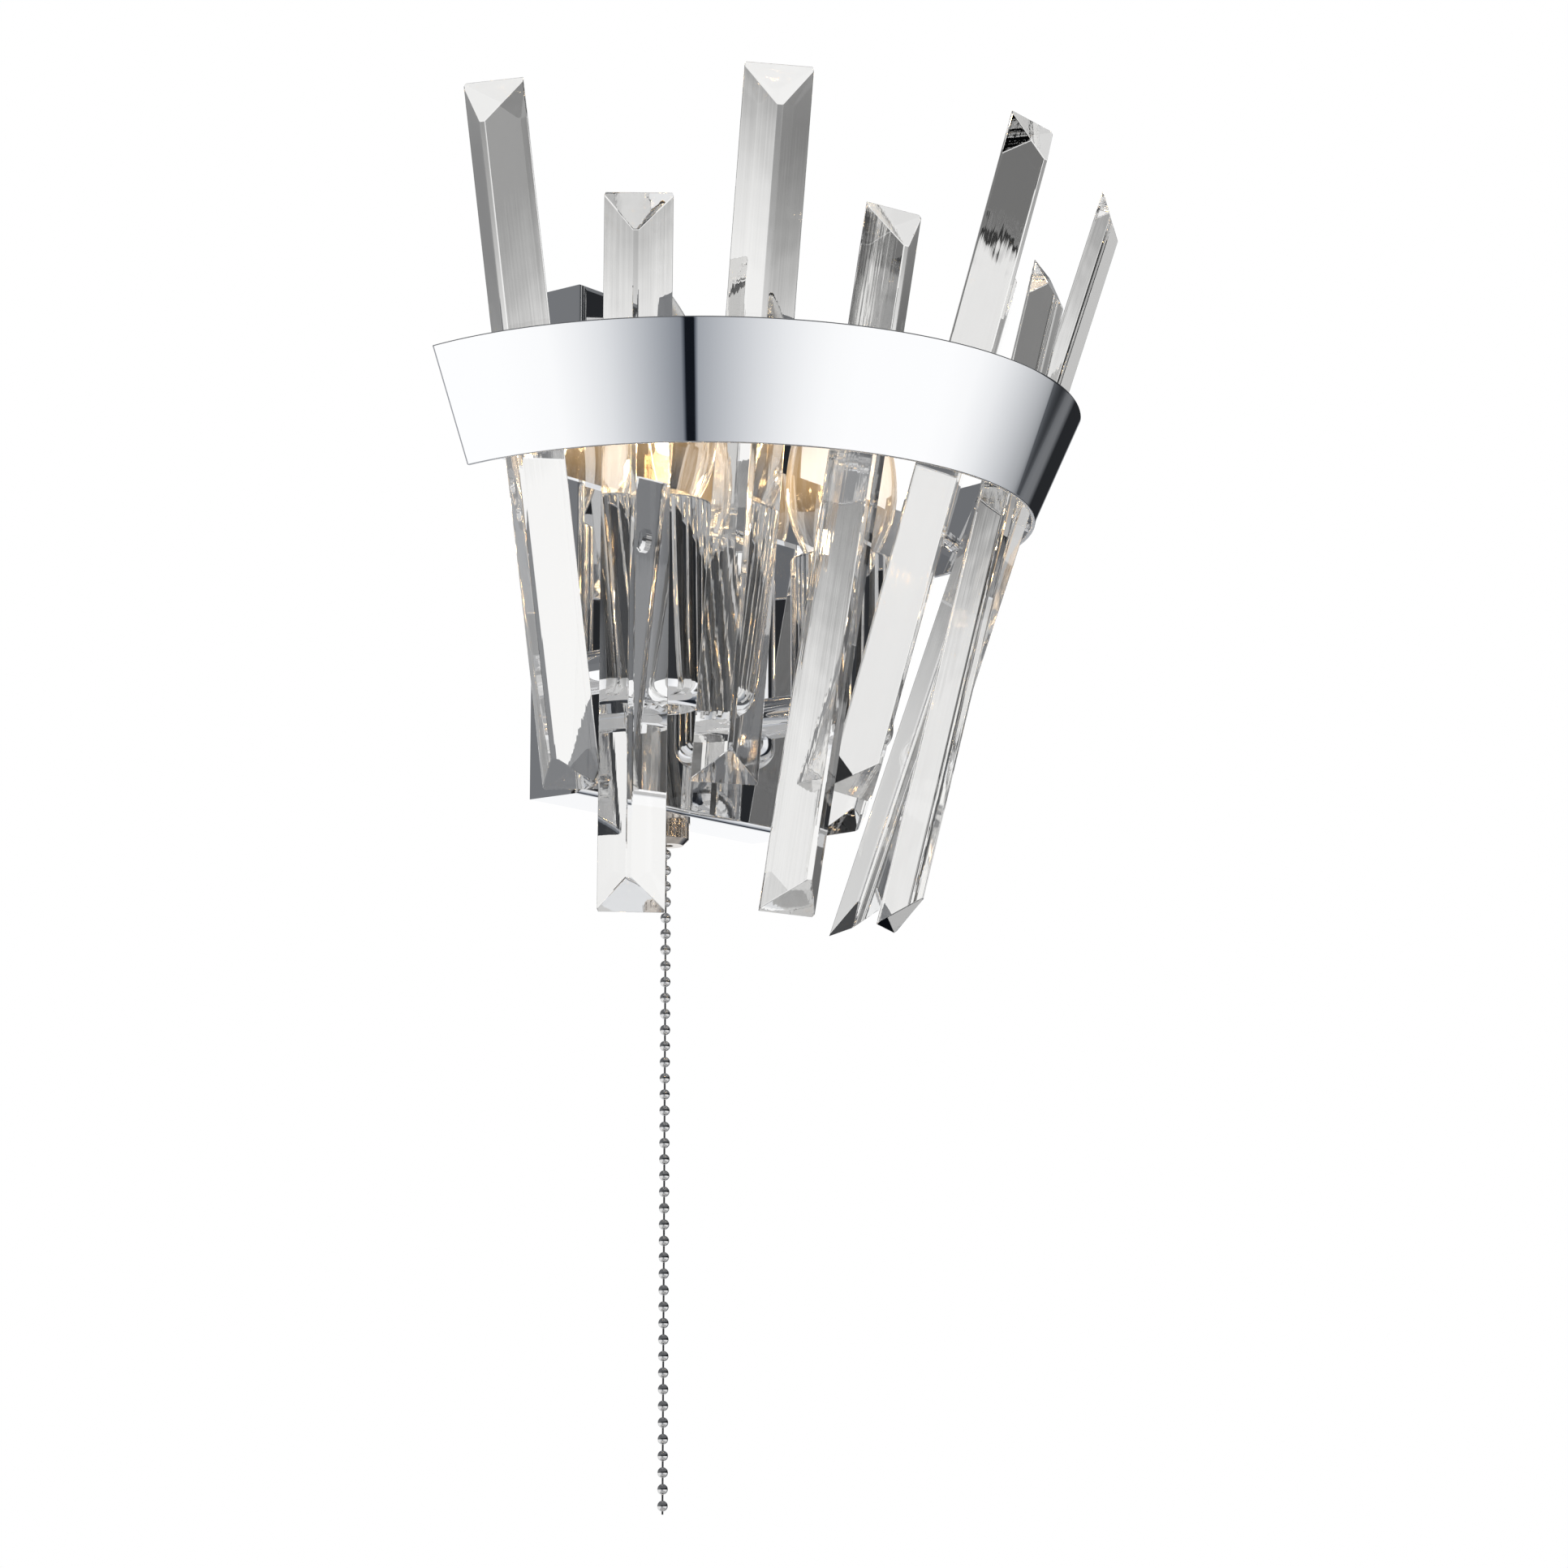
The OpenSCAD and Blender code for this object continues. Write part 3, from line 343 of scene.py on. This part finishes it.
def rounded(corners, radius, steps=4):
    """Outline through those corners, each (r, z), as arcs with a point on the flat beside each."""
    outline = []
    for place, corner in enumerate(corners):
        corner = Vector(corner)
        back = (Vector(corners[place - 1]) - corner).normalized()
        ahead = (Vector(corners[(place + 1) % len(corners)]) - corner).normalized()
        half = back.angle(ahead) / 2
        reach = radius / tan(half)
        centre = corner + (back + ahead).normalized() * radius / sin(half)
        outline.append(corner + back * (reach + radius))
        for step in range(steps + 1):
            spoke = (corner + back * reach - centre).lerp(corner + ahead * reach - centre, step / steps)
            outline.append(centre + spoke.normalized() * radius)
        outline.append(corner + ahead * (reach + radius))
    return outline


def spun(name, outline, x, y, turn=2 * pi, steps=96):
    """The outline, points (r, z), spun about the upright axis through x and y."""
    start_fresh()
    bpy.ops.mesh.primitive_plane_add(size=MM, location=(x + outline[0][0], y, outline[0][1]))
    piece = new_piece(name)
    bpy.ops.object.transform_apply(location=True)
    bpy.ops.object.mode_set(mode="EDIT")
    bpy.context.tool_settings.mesh_select_mode = (True, False, False)
    bpy.ops.mesh.select_all(action="SELECT")
    bpy.ops.mesh.merge(type="CENTER")
    part_turn = turn < 2 * pi
    for here, there in zip(outline, outline[1:] + (outline[:1] if part_turn else [])):
        bpy.ops.mesh.extrude_region_move(
            TRANSFORM_OT_translate={"value": (there[0] - here[0], 0, there[1] - here[1])})
    bpy.ops.mesh.select_all(action="SELECT")
    if part_turn:
        bpy.ops.mesh.remove_doubles(threshold=weld)
        bpy.ops.mesh.edge_face_add()
        bpy.ops.transform.rotate(value=-(turn - pi) / 2, orient_axis="Z", center_override=(x, y, 0))
    bpy.ops.mesh.spin(steps=steps, angle=turn, center=(x, y, 0), axis=(0, 0, 1))
    bpy.ops.mesh.select_all(action="SELECT")
    bpy.ops.mesh.remove_doubles(threshold=weld)
    bpy.ops.mesh.normals_make_consistent(inside=False)
    bpy.ops.object.mode_set(mode="OBJECT")
    bpy.ops.object.shade_smooth_by_angle(angle=radians(35))
    return piece


band_flare = atan((band_top_r - band_low_r) / (band_top_z - band_low_z))
band_inset = band_sheet / cos(band_flare)
band_outline = rounded(
    [(band_low_r - band_inset, band_low_z), (band_low_r, band_low_z),
     (band_top_r, band_top_z), (band_top_r - band_inset, band_top_z)], band_edge_r)
band = spun("chrome_band", band_outline, 0, band_centre_y, turn=pi + 2 * band_wrap, steps=160)
dress(band, chrome_plate("band_chrome", waviness=0.004 * MM), "chrome_sheet", "band")
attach(band, "fixture")

# painted shade: the rims, which face up and down, and the last strip at each end get a dark material that
# stands in for the dark reflection along the band's edges
painted_edge_shade = new_finish("painted_dark_edge", (0.30, 0.31, 0.33), metal=1, roughness=(0.2, 0.35), patch=2 * MM)
band.data.materials.append(painted_edge_shade)
for side in (-1, 1):
    onward = Vector((-side * sin(band_wrap), cos(band_wrap), 0))
    choose_faces(band, lambda face: side * face.center.x > band_end_share * band_low_r)
    bpy.ops.mesh.bisect(plane_co=Vector((0, band_centre_y, 0)) - onward * band_shaded_strip, plane_no=onward)
    bpy.ops.object.mode_set(mode="OBJECT")
# the painted dark edge material goes on the rims and on the end strips
for face in band.data.polygons:
    past_end = cos(band_wrap) * (face.center.y - band_centre_y) - sin(band_wrap) * abs(face.center.x)
    face.material_index = int(abs(face.normal.z) > band_rim_slope or past_end > -band_shaded_strip)

# Lamp cups
# Round-bottomed spun chrome cups, each held off the box's front by a saddle on a threaded nipple.
lamp_x, lamp_y = 44.5 * MM, -42.3 * MM
cup_r, cup_wall = 16 * MM, 1 * MM
cup_low_z, cup_rim_z = -54 * MM, 7 * MM
cup_round_r, cup_flat = 7 * MM, 0.5 * MM
cup_ledge_low, cup_ledge_top, cup_ledge_in = -9 * MM, -7.8 * MM, 1.6 * MM
nipple_z, nipple_hole_r = -40 * MM, 4.15 * MM
bowl_steps, rim_steps = 20, 8


def bowl(radius):
    """The turned corner of the cup's bottom, from the flat up to the wall."""
    start = (cup_r - cup_round_r, cup_low_z + cup_round_r)
    bends = [pi / 2 * step / bowl_steps for step in range(bowl_steps + 1)]
    return [(start[0] + radius * sin(bend), start[1] - radius * cos(bend)) for bend in bends]


cup_chrome = chrome_plate("cup_chrome", waviness=0.004 * MM)
paint(cup_chrome, "cup_saddles")
cup_in = cup_r - cup_wall
rim_r = cup_wall / 2
rim_bends = [pi * step / rim_steps for step in range(rim_steps + 1)]
rim_round = [(cup_r - rim_r + rim_r * cos(bend), cup_rim_z - rim_r + rim_r * sin(bend))
             for bend in rim_bends]

# from the middle of the bottom up the outside, over the rim, and down the inside past the ledge
cup_outline = (
    [(0, cup_low_z), (cup_r - cup_round_r - cup_flat, cup_low_z)] + bowl(cup_round_r)
    + [(cup_r, cup_low_z + cup_round_r + cup_flat), (cup_r, cup_rim_z - cup_wall)] + rim_round
    + [(cup_in, cup_rim_z - cup_wall), (cup_in, cup_ledge_top), (cup_in - cup_ledge_in, cup_ledge_top),
       (cup_in - cup_ledge_in, cup_ledge_low), (cup_in, cup_ledge_low - cup_ledge_in)]
    + bowl(cup_round_r - cup_wall)[::-1] + [(0, cup_low_z + cup_wall)])
for side, hand in ((-1, "left"), (1, "right")):
    start_fresh()
    bpy.ops.mesh.primitive_cylinder_add(
        vertices=48, radius=nipple_hole_r, depth=cup_r, rotation=(pi / 2, 0, 0),
        location=(side * lamp_x, lamp_y + cup_r, nipple_z))
    drill = new_piece("nipple_drill")
    cup = spun("chrome_cup_" + hand, cup_outline, side * lamp_x, lamp_y)
    hole = cup.modifiers.new("nipple_hole", "BOOLEAN")
    hole.object = drill
    bpy.ops.object.modifier_apply(modifier=hole.name)
    bpy.data.objects.remove(drill)
    dress(cup, cup_chrome, "chrome_sheet", "cup_" + hand)
    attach(cup, "fixture")

# Lampholders
# White heat-proof mouldings that drop into the cups and rest on a ledge inside them.
holder_white = new_finish("holder_white", (0.80, 0.79, 0.75), roughness=(0.34, 0.5), patch=3 * MM)
paint(holder_white, "lampholder_left", "lampholder_right")

# Candle lamps
# Clear blown bulbs on nickelled screw caps, with a wire filament on a glass stem, lit warm.
cap_nickel = new_finish("cap_nickel", (0.72, 0.68, 0.60), metal=1, roughness=(0.16, 0.32), patch=2 * MM)
paint(cap_nickel, "bulb_cap_left", "bulb_cap_right")

glass_colour = (0.985, 0.981, 0.970)
glass_haze, glass_patch = (0.0, 0.004), 20 * MM
lamp_index = 1.5
glass_wall = 0.8 * MM
bulb_r, neck_r = 17.5 * MM, 7.4 * MM
glass_low_z, bulb_wide_z, bulb_tip_z = 2.3 * MM, 29 * MM, 75 * MM
shoulder_steps, shoulder_bulge = 24, 0.9
point_steps, point_bulge = 32, 0.8
filament_z, filament_half = 34 * MM, 7 * MM
coil_r, coil_wire_r, coil_turns = 0.9 * MM, 0.16 * MM, 22
stem_top_z, stem_wire_r = 14 * MM, 0.35 * MM
stem_wire_low_x, stem_wire_kink = 1 * MM, 4 * MM
glow_colour, glow_strength = (1.0, 0.62, 0.26), 150
glare_in, glare_out, glare_strength = 6 * MM, 24 * MM, 0.32
lamp_colour, lamp_power, lamp_size = (1.0, 0.72, 0.42), 1.8, 4 * MM


def clear_glass(name, index):
    """Clear glass that bends what is seen through it and lets the lamps' light pass."""
    material = new_finish(name, glass_colour, roughness=glass_haze, patch=glass_patch)
    shader = principled(material)
    shader.inputs["Transmission Weight"].default_value = 1
    shader.inputs["IOR"].default_value = index
    nodes, links = material.node_tree.nodes, material.node_tree.links
    through = nodes.new("ShaderNodeBsdfTransparent")
    ray = nodes.new("ShaderNodeLightPath")
    choice = nodes.new("ShaderNodeMixShader")
    links.new(ray.outputs["Is Shadow Ray"], choice.inputs["Fac"])
    links.new(shader.outputs["BSDF"], choice.inputs[1])
    links.new(through.outputs["BSDF"], choice.inputs[2])
    links.new(choice.outputs["Shader"], nodes["Material Output"].inputs["Surface"])
    return material


def flask(drop):
    """Points (r, z) of the bulb's wall from neck to tip, that far inside the outer face."""
    points = []
    for step in range(shoulder_steps + 1):
        rise = sin(pi / 2 * step / shoulder_steps)
        points.append((neck_r + (bulb_r - neck_r) * cos(pi / 2 * (1 - rise)) ** shoulder_bulge - drop,
                       glass_low_z + (bulb_wide_z - glass_low_z) * rise))
    for step in range(1, point_steps + 1):
        rise = sin(pi / 2 * step / point_steps)
        points.append((max(bulb_r * max(cos(pi / 2 * rise), 0) ** point_bulge - drop, 0),
                       bulb_wide_z + (bulb_tip_z - drop - bulb_wide_z) * rise))
    return points


def lit_glass(name, heart):
    """Clear glass that glares round the filament, whose middle is at heart."""
    material = clear_glass(name, lamp_index)
    shader = principled(material)
    nodes, links = material.node_tree.nodes, material.node_tree.links
    away = nodes.new("ShaderNodeVectorMath")
    away.operation = "DISTANCE"
    links.new(nodes.new("ShaderNodeTexCoord").outputs["Object"], away.inputs[0])
    away.inputs[1].default_value = heart
    glare = nodes.new("ShaderNodeMapRange")
    glare.interpolation_type = "SMOOTHSTEP"
    glare.inputs["From Min"].default_value = glare_in
    glare.inputs["From Max"].default_value = glare_out
    glare.inputs["To Min"].default_value = glare_strength
    glare.inputs["To Max"].default_value = 0
    links.new(away.outputs["Value"], glare.inputs["Value"])
    links.new(glare.outputs["Result"], shader.inputs["Emission Strength"])
    shader.inputs["Emission Color"].default_value = (*glow_colour, 1)
    return material


paint(clear_glass("stem_glass", lamp_index), "bulb_stem_left", "bulb_stem_right")
glow = new_finish("filament_glow", (1.0, 0.75, 0.4), roughness=(0.45, 0.55), patch=1 * MM)
principled(glow).inputs["Emission Color"].default_value = (*glow_colour, 1)
principled(glow).inputs["Emission Strength"].default_value = glow_strength
stem_steel = new_finish("stem_wire", (0.56, 0.54, 0.50), metal=1, roughness=(0.25, 0.4), patch=1 * MM)

for side, hand in ((-1, "left"), (1, "right")):
    heart = (side * lamp_x, lamp_y, filament_z)
    bulb_outline = flask(0) + flask(glass_wall)[::-1] + flask(0)[:1]
    bulb = spun("bulb_shell_" + hand, bulb_outline, side * lamp_x, lamp_y)
    dress(bulb, lit_glass("bulb_glass_" + hand, heart), "lamp_glass", "bulb_glass_" + hand)
    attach(bulb, "bulb_" + hand)

    # the coiled wire across the top of the stem, and the two wires that carry it
    coil = wound("lit_filament_" + hand, coil_r, coil_wire_r, coil_turns, 2 * filament_half)
    bpy.ops.object.mode_set(mode="EDIT")
    bpy.ops.mesh.select_all(action="SELECT")
    bpy.ops.transform.translate(value=(0, 0, -filament_half))
    bpy.ops.transform.rotate(value=pi / 2, orient_axis="Y", center_override=(0, 0, 0))
    bpy.ops.transform.translate(value=heart)
    bpy.ops.object.mode_set(mode="OBJECT")
    dress(coil, glow, "filament", "filament_" + hand)
    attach(coil, "bulb_" + hand)
    filament_parts = [coil]
    for end in (-1, 1):
        start_fresh()
        bpy.ops.mesh.primitive_circle_add(
            vertices=wire_sides, radius=stem_wire_r, fill_type="NGON",
            location=(side * lamp_x + end * stem_wire_low_x, lamp_y, stem_top_z))
        filament_parts.append(bpy.context.object)
        bpy.context.object.data.materials.append(stem_steel)
        bpy.ops.object.transform_apply(location=True)
        bpy.ops.object.mode_set(mode="EDIT")
        bpy.ops.mesh.select_all(action="SELECT")
        bpy.ops.mesh.extrude_region_move(TRANSFORM_OT_translate={"value": (0, 0, stem_wire_kink)})
        bpy.ops.mesh.extrude_region_move(TRANSFORM_OT_translate={"value": (
            end * (filament_half - stem_wire_low_x), 0, filament_z - stem_top_z - stem_wire_kink)})
        bpy.ops.mesh.select_all(action="SELECT")
        bpy.ops.mesh.normals_make_consistent(inside=False)
        bpy.ops.object.mode_set(mode="OBJECT")
    join_into_first(filament_parts)

    bpy.ops.object.light_add(type="POINT", location=heart)
    lamp = bpy.context.object
    lamp.data.energy = lamp_power
    lamp.data.color = lamp_colour
    lamp.data.shadow_soft_size = lamp_size

# Crystals
# Nine solid glass prisms of triangular section with bevelled edges and cut ends, each hung
# on one screw through its middle, with a soft washer under the head and a standoff behind it.
crystal_count = 9
crystal_index = 1.53
edge_round, short_edge = 0.22 * MM, 2.5 * MM
crystal_weld = 0.005 * MM
end_share = 0.15
streak_width, streak_length, streak_depth = 1.6 * MM, 96 * MM, 0.009 * MM
wave_size, wave_depth = 11 * MM, 0.03 * MM


def long_way(solid):
    """Direction along a prism, from the middle of its low end to the middle of its high end."""
    lowest = min(point.co.z for point in solid.data.vertices)
    highest = max(point.co.z for point in solid.data.vertices)
    end_part = end_share * (highest - lowest)
    low_end = [point.co for point in solid.data.vertices if point.co.z < lowest + end_part]
    high_end = [point.co for point in solid.data.vertices if point.co.z > highest - end_part]
    middle = [sum(end, Vector()) / len(end) for end in (low_end, high_end)]
    return (middle[1] - middle[0]).normalized()


def drawn_glass(name, way):
    """Crystal with faint streaks along the prism and slow waves left by the polishing."""
    material = clear_glass(name, crystal_index)
    nodes, links = material.node_tree.nodes, material.node_tree.links
    along = nodes.new("ShaderNodeMapping")
    along.vector_type = "TEXTURE"
    along.inputs["Rotation"].default_value = Vector((0, 0, 1)).rotation_difference(way).to_euler()
    along.inputs["Scale"].default_value = (streak_width, streak_width, streak_length)
    links.new(nodes.new("ShaderNodeTexCoord").outputs["Object"], along.inputs["Vector"])
    streaks = nodes.new("ShaderNodeTexNoise")
    streaks.inputs["Scale"].default_value = 1
    streaks.inputs["Detail"].default_value = 2
    links.new(along.outputs["Vector"], streaks.inputs["Vector"])
    emboss(material, streaks, streak_depth)
    emboss(material, mottle(material, wave_size, detail=1), wave_depth)
    return material


for number in range(1, crystal_count + 1):
    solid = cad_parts["crystal_%d" % number]
    copied(solid)
    prism = new_piece("cut_crystal_%d" % number)
    bpy.ops.object.mode_set(mode="EDIT")
    bpy.context.tool_settings.mesh_select_mode = (False, True, False)
    bpy.ops.mesh.select_all(action="SELECT")
    bpy.ops.mesh.remove_doubles(threshold=crystal_weld)
    bpy.ops.mesh.dissolve_limited(angle_limit=radians(0.5))
    bpy.ops.mesh.select_all(action="DESELECT")
    bpy.ops.mesh.edges_select_sharp(sharpness=radians(25))
    bpy.ops.object.mode_set(mode="OBJECT")
    for edge in prism.data.edges:
        first, last = (prism.data.vertices[corner].co for corner in edge.vertices)
        edge.select = edge.select and (last - first).length > short_edge
    bpy.ops.object.mode_set(mode="EDIT")
    bpy.ops.mesh.bevel(offset=edge_round, segments=2, affect="EDGES")
    bpy.ops.object.mode_set(mode="OBJECT")
    bpy.ops.object.shade_smooth_by_angle(angle=radians(8))
    dress(prism, drawn_glass(prism.name, long_way(solid)), "crystal", "crystal_%d" % number)
    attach(prism, "fixture")

fixing_chrome = chrome_plate("fixing_chrome", waviness=0.002 * MM)
paint(fixing_chrome, "crystal_screws", "crystal_standoffs")
washer = new_finish("clear_washer", (0.86, 0.87, 0.88), roughness=(0.25, 0.4), patch=1.5 * MM)
paint(washer, "crystal_washers")

# Camera
# Long lens to the left of the sconce, about level with the end of the chain and turned a
# little upwards, as the photograph was taken.
lens_place = (-0.8958, -0.7507, -0.2695)
look_yaw, look_pitch = 52.131, 9.906
bpy.ops.object.camera_add(
    location=lens_place, rotation=(radians(90 + look_pitch), 0, radians(-look_yaw)))
camera = bpy.context.object
camera.data.lens = 88.62
camera.data.sensor_width = 36
camera.data.clip_start = 0.05
bpy.context.scene.camera = camera

# Studio
# Pale floor under the hung sconce, white sweep behind it, and a grey room above.
floor_r, floor_y, floor_z = 1.2, -0.4, -1.3
start_fresh()
bpy.ops.mesh.primitive_circle_add(
    vertices=64, radius=floor_r, fill_type="NGON", location=(0, floor_y, floor_z))
floor = new_piece("studio_floor")
pale = new_finish("pale_floor", (0.82, 0.82, 0.82), roughness=(0.6, 0.8), patch=0.2)
floor.data.materials.append(pale)

world = bpy.data.worlds.new("studio")
bpy.context.scene.world = world
world.use_nodes = True
sky = world.node_tree
sky.nodes.clear()
node = sky.nodes.new


def plug(value, place):
    """Puts a number, a colour or another node's output into a node's input."""
    if isinstance(value, bpy.types.NodeSocket):
        sky.links.new(value, place)
    else:
        place.default_value = value


def calc(operation, *values):
    """What a math node makes of those numbers and outputs."""
    made = node("ShaderNodeMath")
    made.operation = operation
    for value, place in zip(values, made.inputs):
        plug(value, place)
    return made.outputs["Value"]


def graded(value, *stops):
    """Grey level worked out from a value by stops, each (value, level)."""
    lowest, highest = stops[0][0], stops[-1][0]
    spread = node("ShaderNodeMapRange")
    plug(value, spread.inputs["Value"])
    plug(lowest, spread.inputs["From Min"])
    plug(highest, spread.inputs["From Max"])
    ramp = node("ShaderNodeValToRGB")
    for place, level in stops[1:-1]:
        ramp.color_ramp.elements.new((place - lowest) / (highest - lowest))
    for element, (_, level) in zip(ramp.color_ramp.elements, stops):
        element.color = (level, level, level, 1)
    plug(spread.outputs["Result"], ramp.inputs["Fac"])
    return ramp.outputs["Color"]


def blended(share, first, second):
    """A grey level between two, by the share of the second."""
    return calc("ADD", calc("MULTIPLY", share, second),
                calc("MULTIPLY", calc("SUBTRACT", 1.0, share), first))


# the way that a ray leaves: its rise above the level, and its heading clockwise from +Y
split = node("ShaderNodeSeparateXYZ")
plug(node("ShaderNodeTexCoord").outputs["Generated"], split.inputs["Vector"])
rise = calc("MULTIPLY", calc("ARCSINE", split.outputs["Z"]), 180 / pi)
heading = calc("MULTIPLY", calc("ARCTAN2", split.outputs["X"], split.outputs["Y"]), 180 / pi)
behind = graded(calc("ABSOLUTE", calc("SUBTRACT", heading, look_yaw)), (40, 1.0), (60, 0.0))

# mirrors and glass are shown two different studios, told apart by the kind of ray
paths = node("ShaderNodeLightPath")
through_glass = paths.outputs["Is Transmission Ray"]
mirrored = calc("SUBTRACT", 1.0, through_glass)

# the white sweep: dim on both sides of a dark slot beside the lens, with a grey screen at the right
# of the sconce, and dimmer low down behind it
sweep_least_in_glass = 0.52
sweep = graded(
    heading, (-180, 0.99), (-170, 0.96), (-162, 0.90), (-154, 0.81), (-145, 0.68), (-137, 0.55),
    (-129, 0.42), (-125.4, 0.36), (-125.2, 0.008), (-121.8, 0.008), (-121.6, 0.24), (-112, 0.43),
    (-104, 0.60), (-96, 0.76), (-88, 0.87), (-78, 0.97), (-60, 1.0), (180, 0.99))
sweep = calc("MAXIMUM", sweep, calc("MULTIPLY", through_glass, sweep_least_in_glass))
mirror_screen = graded(
    heading, (64, 1.0), (68, 0.02), (84, 0.02), (88, 0.16), (98, 0.19),
    (102, 0.36), (108, 0.46), (119, 0.66), (129, 0.84), (139, 0.96), (150, 1.0))
glass_screen = graded(heading, (84, 1.0), (94, 0.62), (110, 0.56), (125, 0.75), (140, 1.0))
sweep = calc("MULTIPLY", sweep, blended(mirrored, glass_screen, mirror_screen))
low_shade = graded(rise, (-14, 0.78), (-5, 1.0))
sweep = calc("MULTIPLY", sweep, blended(behind, 1.0, low_shade))

# the sweep's edge stands highest behind the sconce, soft there and with a dark slot elsewhere
crest_heading, crest_rise, crest_slope = 50.3, 44.9, 1.05
edge_lowest, edge_highest = -4.4, 17.2
crest_fall = calc("MULTIPLY", calc("ABSOLUTE", calc("SUBTRACT", heading, crest_heading)), crest_slope)
edge_rise = calc("MAXIMUM", calc("SUBTRACT", crest_rise, crest_fall), edge_lowest)
over_edge = calc("SUBTRACT", rise, calc("MINIMUM", edge_rise, edge_highest))
soft_edge = graded(over_edge, (-2.5, 0.0), (-1, 0.2), (0, 0.5), (1, 0.8), (2.5, 1.0))
hard_edge = graded(over_edge, (-0.3, 0.0), (0.3, 1.0))
edge_slot = graded(over_edge, (-0.1, 1.0), (0.0, 0.08), (0.15, 0.08), (0.25, 1.0))

# the room above it, darkest on the lens's side, with a ceiling that is paler seen through glass
glass_ceiling, mirror_ceiling = 0.64, 0.16
glass_room = graded(heading, (-180, 0.05), (-100, 0.05), (-75, 0.14), (-60, 0.17), (0, 0.22), (20, 0.26),
                    (80, 0.26), (100, 0.20), (128, 0.20), (145, 0.18), (158, 0.05), (180, 0.05))
glass_room = calc("MULTIPLY", glass_room, blended(behind, graded(rise, (0, 1.0), (6, 0.15)), 1.0))
mirror_room = graded(heading, (-180, 0.03), (-100, 0.04), (-75, 0.14), (-60, 0.17), (0, 0.22), (20, 0.26),
                     (60, 0.20), (95, 0.03), (150, 0.015), (180, 0.03))
room = blended(mirrored, glass_room, mirror_room)
ceiling = graded(rise, (19.5, 0.0), (26, 1.0))
room = blended(ceiling, room, blended(mirrored, glass_ceiling, mirror_ceiling))
walls = blended(blended(behind, hard_edge, soft_edge), sweep, room)
studio = calc("MULTIPLY", walls, blended(behind, edge_slot, 1.0))

# the greys that mirrors show lean towards blue, most of all low down
tone = node("ShaderNodeCombineColor")
cool = calc("MULTIPLY", mirrored, graded(rise, (-20, 1.0), (0, 0.35)))
for place, lean in zip(tone.inputs, (0.05, 0.0, -0.08)):
    plug(calc("POWER", studio, calc("MULTIPLY_ADD", cool, lean, 1.0)), place)


def backdrop(colour, strength):
    """Light of that colour and strength from all round."""
    made = node("ShaderNodeBackground")
    plug(colour, made.inputs["Color"])
    plug(strength, made.inputs["Strength"])
    return made.outputs["Background"]


def either(chosen, first, second):
    """The second backdrop for the chosen rays, and the first for all others."""
    mix = node("ShaderNodeMixShader")
    for value, place in zip((chosen, first, second), mix.inputs):
        plug(value, place)
    return mix.outputs["Shader"]


# surfaces are lit by plain white, mirrors and glass show the studio, and the lens sees white
white = (1, 1, 1, 1)
surface_light = 0.7
glass_light, mirror_light = 0.94, 1.18
shining = calc("MAXIMUM", paths.outputs["Is Glossy Ray"], through_glass)
shown = either(shining, backdrop(white, surface_light),
               backdrop(tone.outputs["Color"], blended(mirrored, glass_light, mirror_light)))
shown = either(paths.outputs["Is Camera Ray"], shown, backdrop(white, 1))
plug(shown, node("ShaderNodeOutputWorld").inputs["Surface"])

scene = bpy.context.scene
scene.view_settings.view_transform = "Standard"

# light crosses several prisms and bulbs on its way
scene.cycles.max_bounces = 24
scene.cycles.transmission_bounces = 24
scene.cycles.glossy_bounces = 12
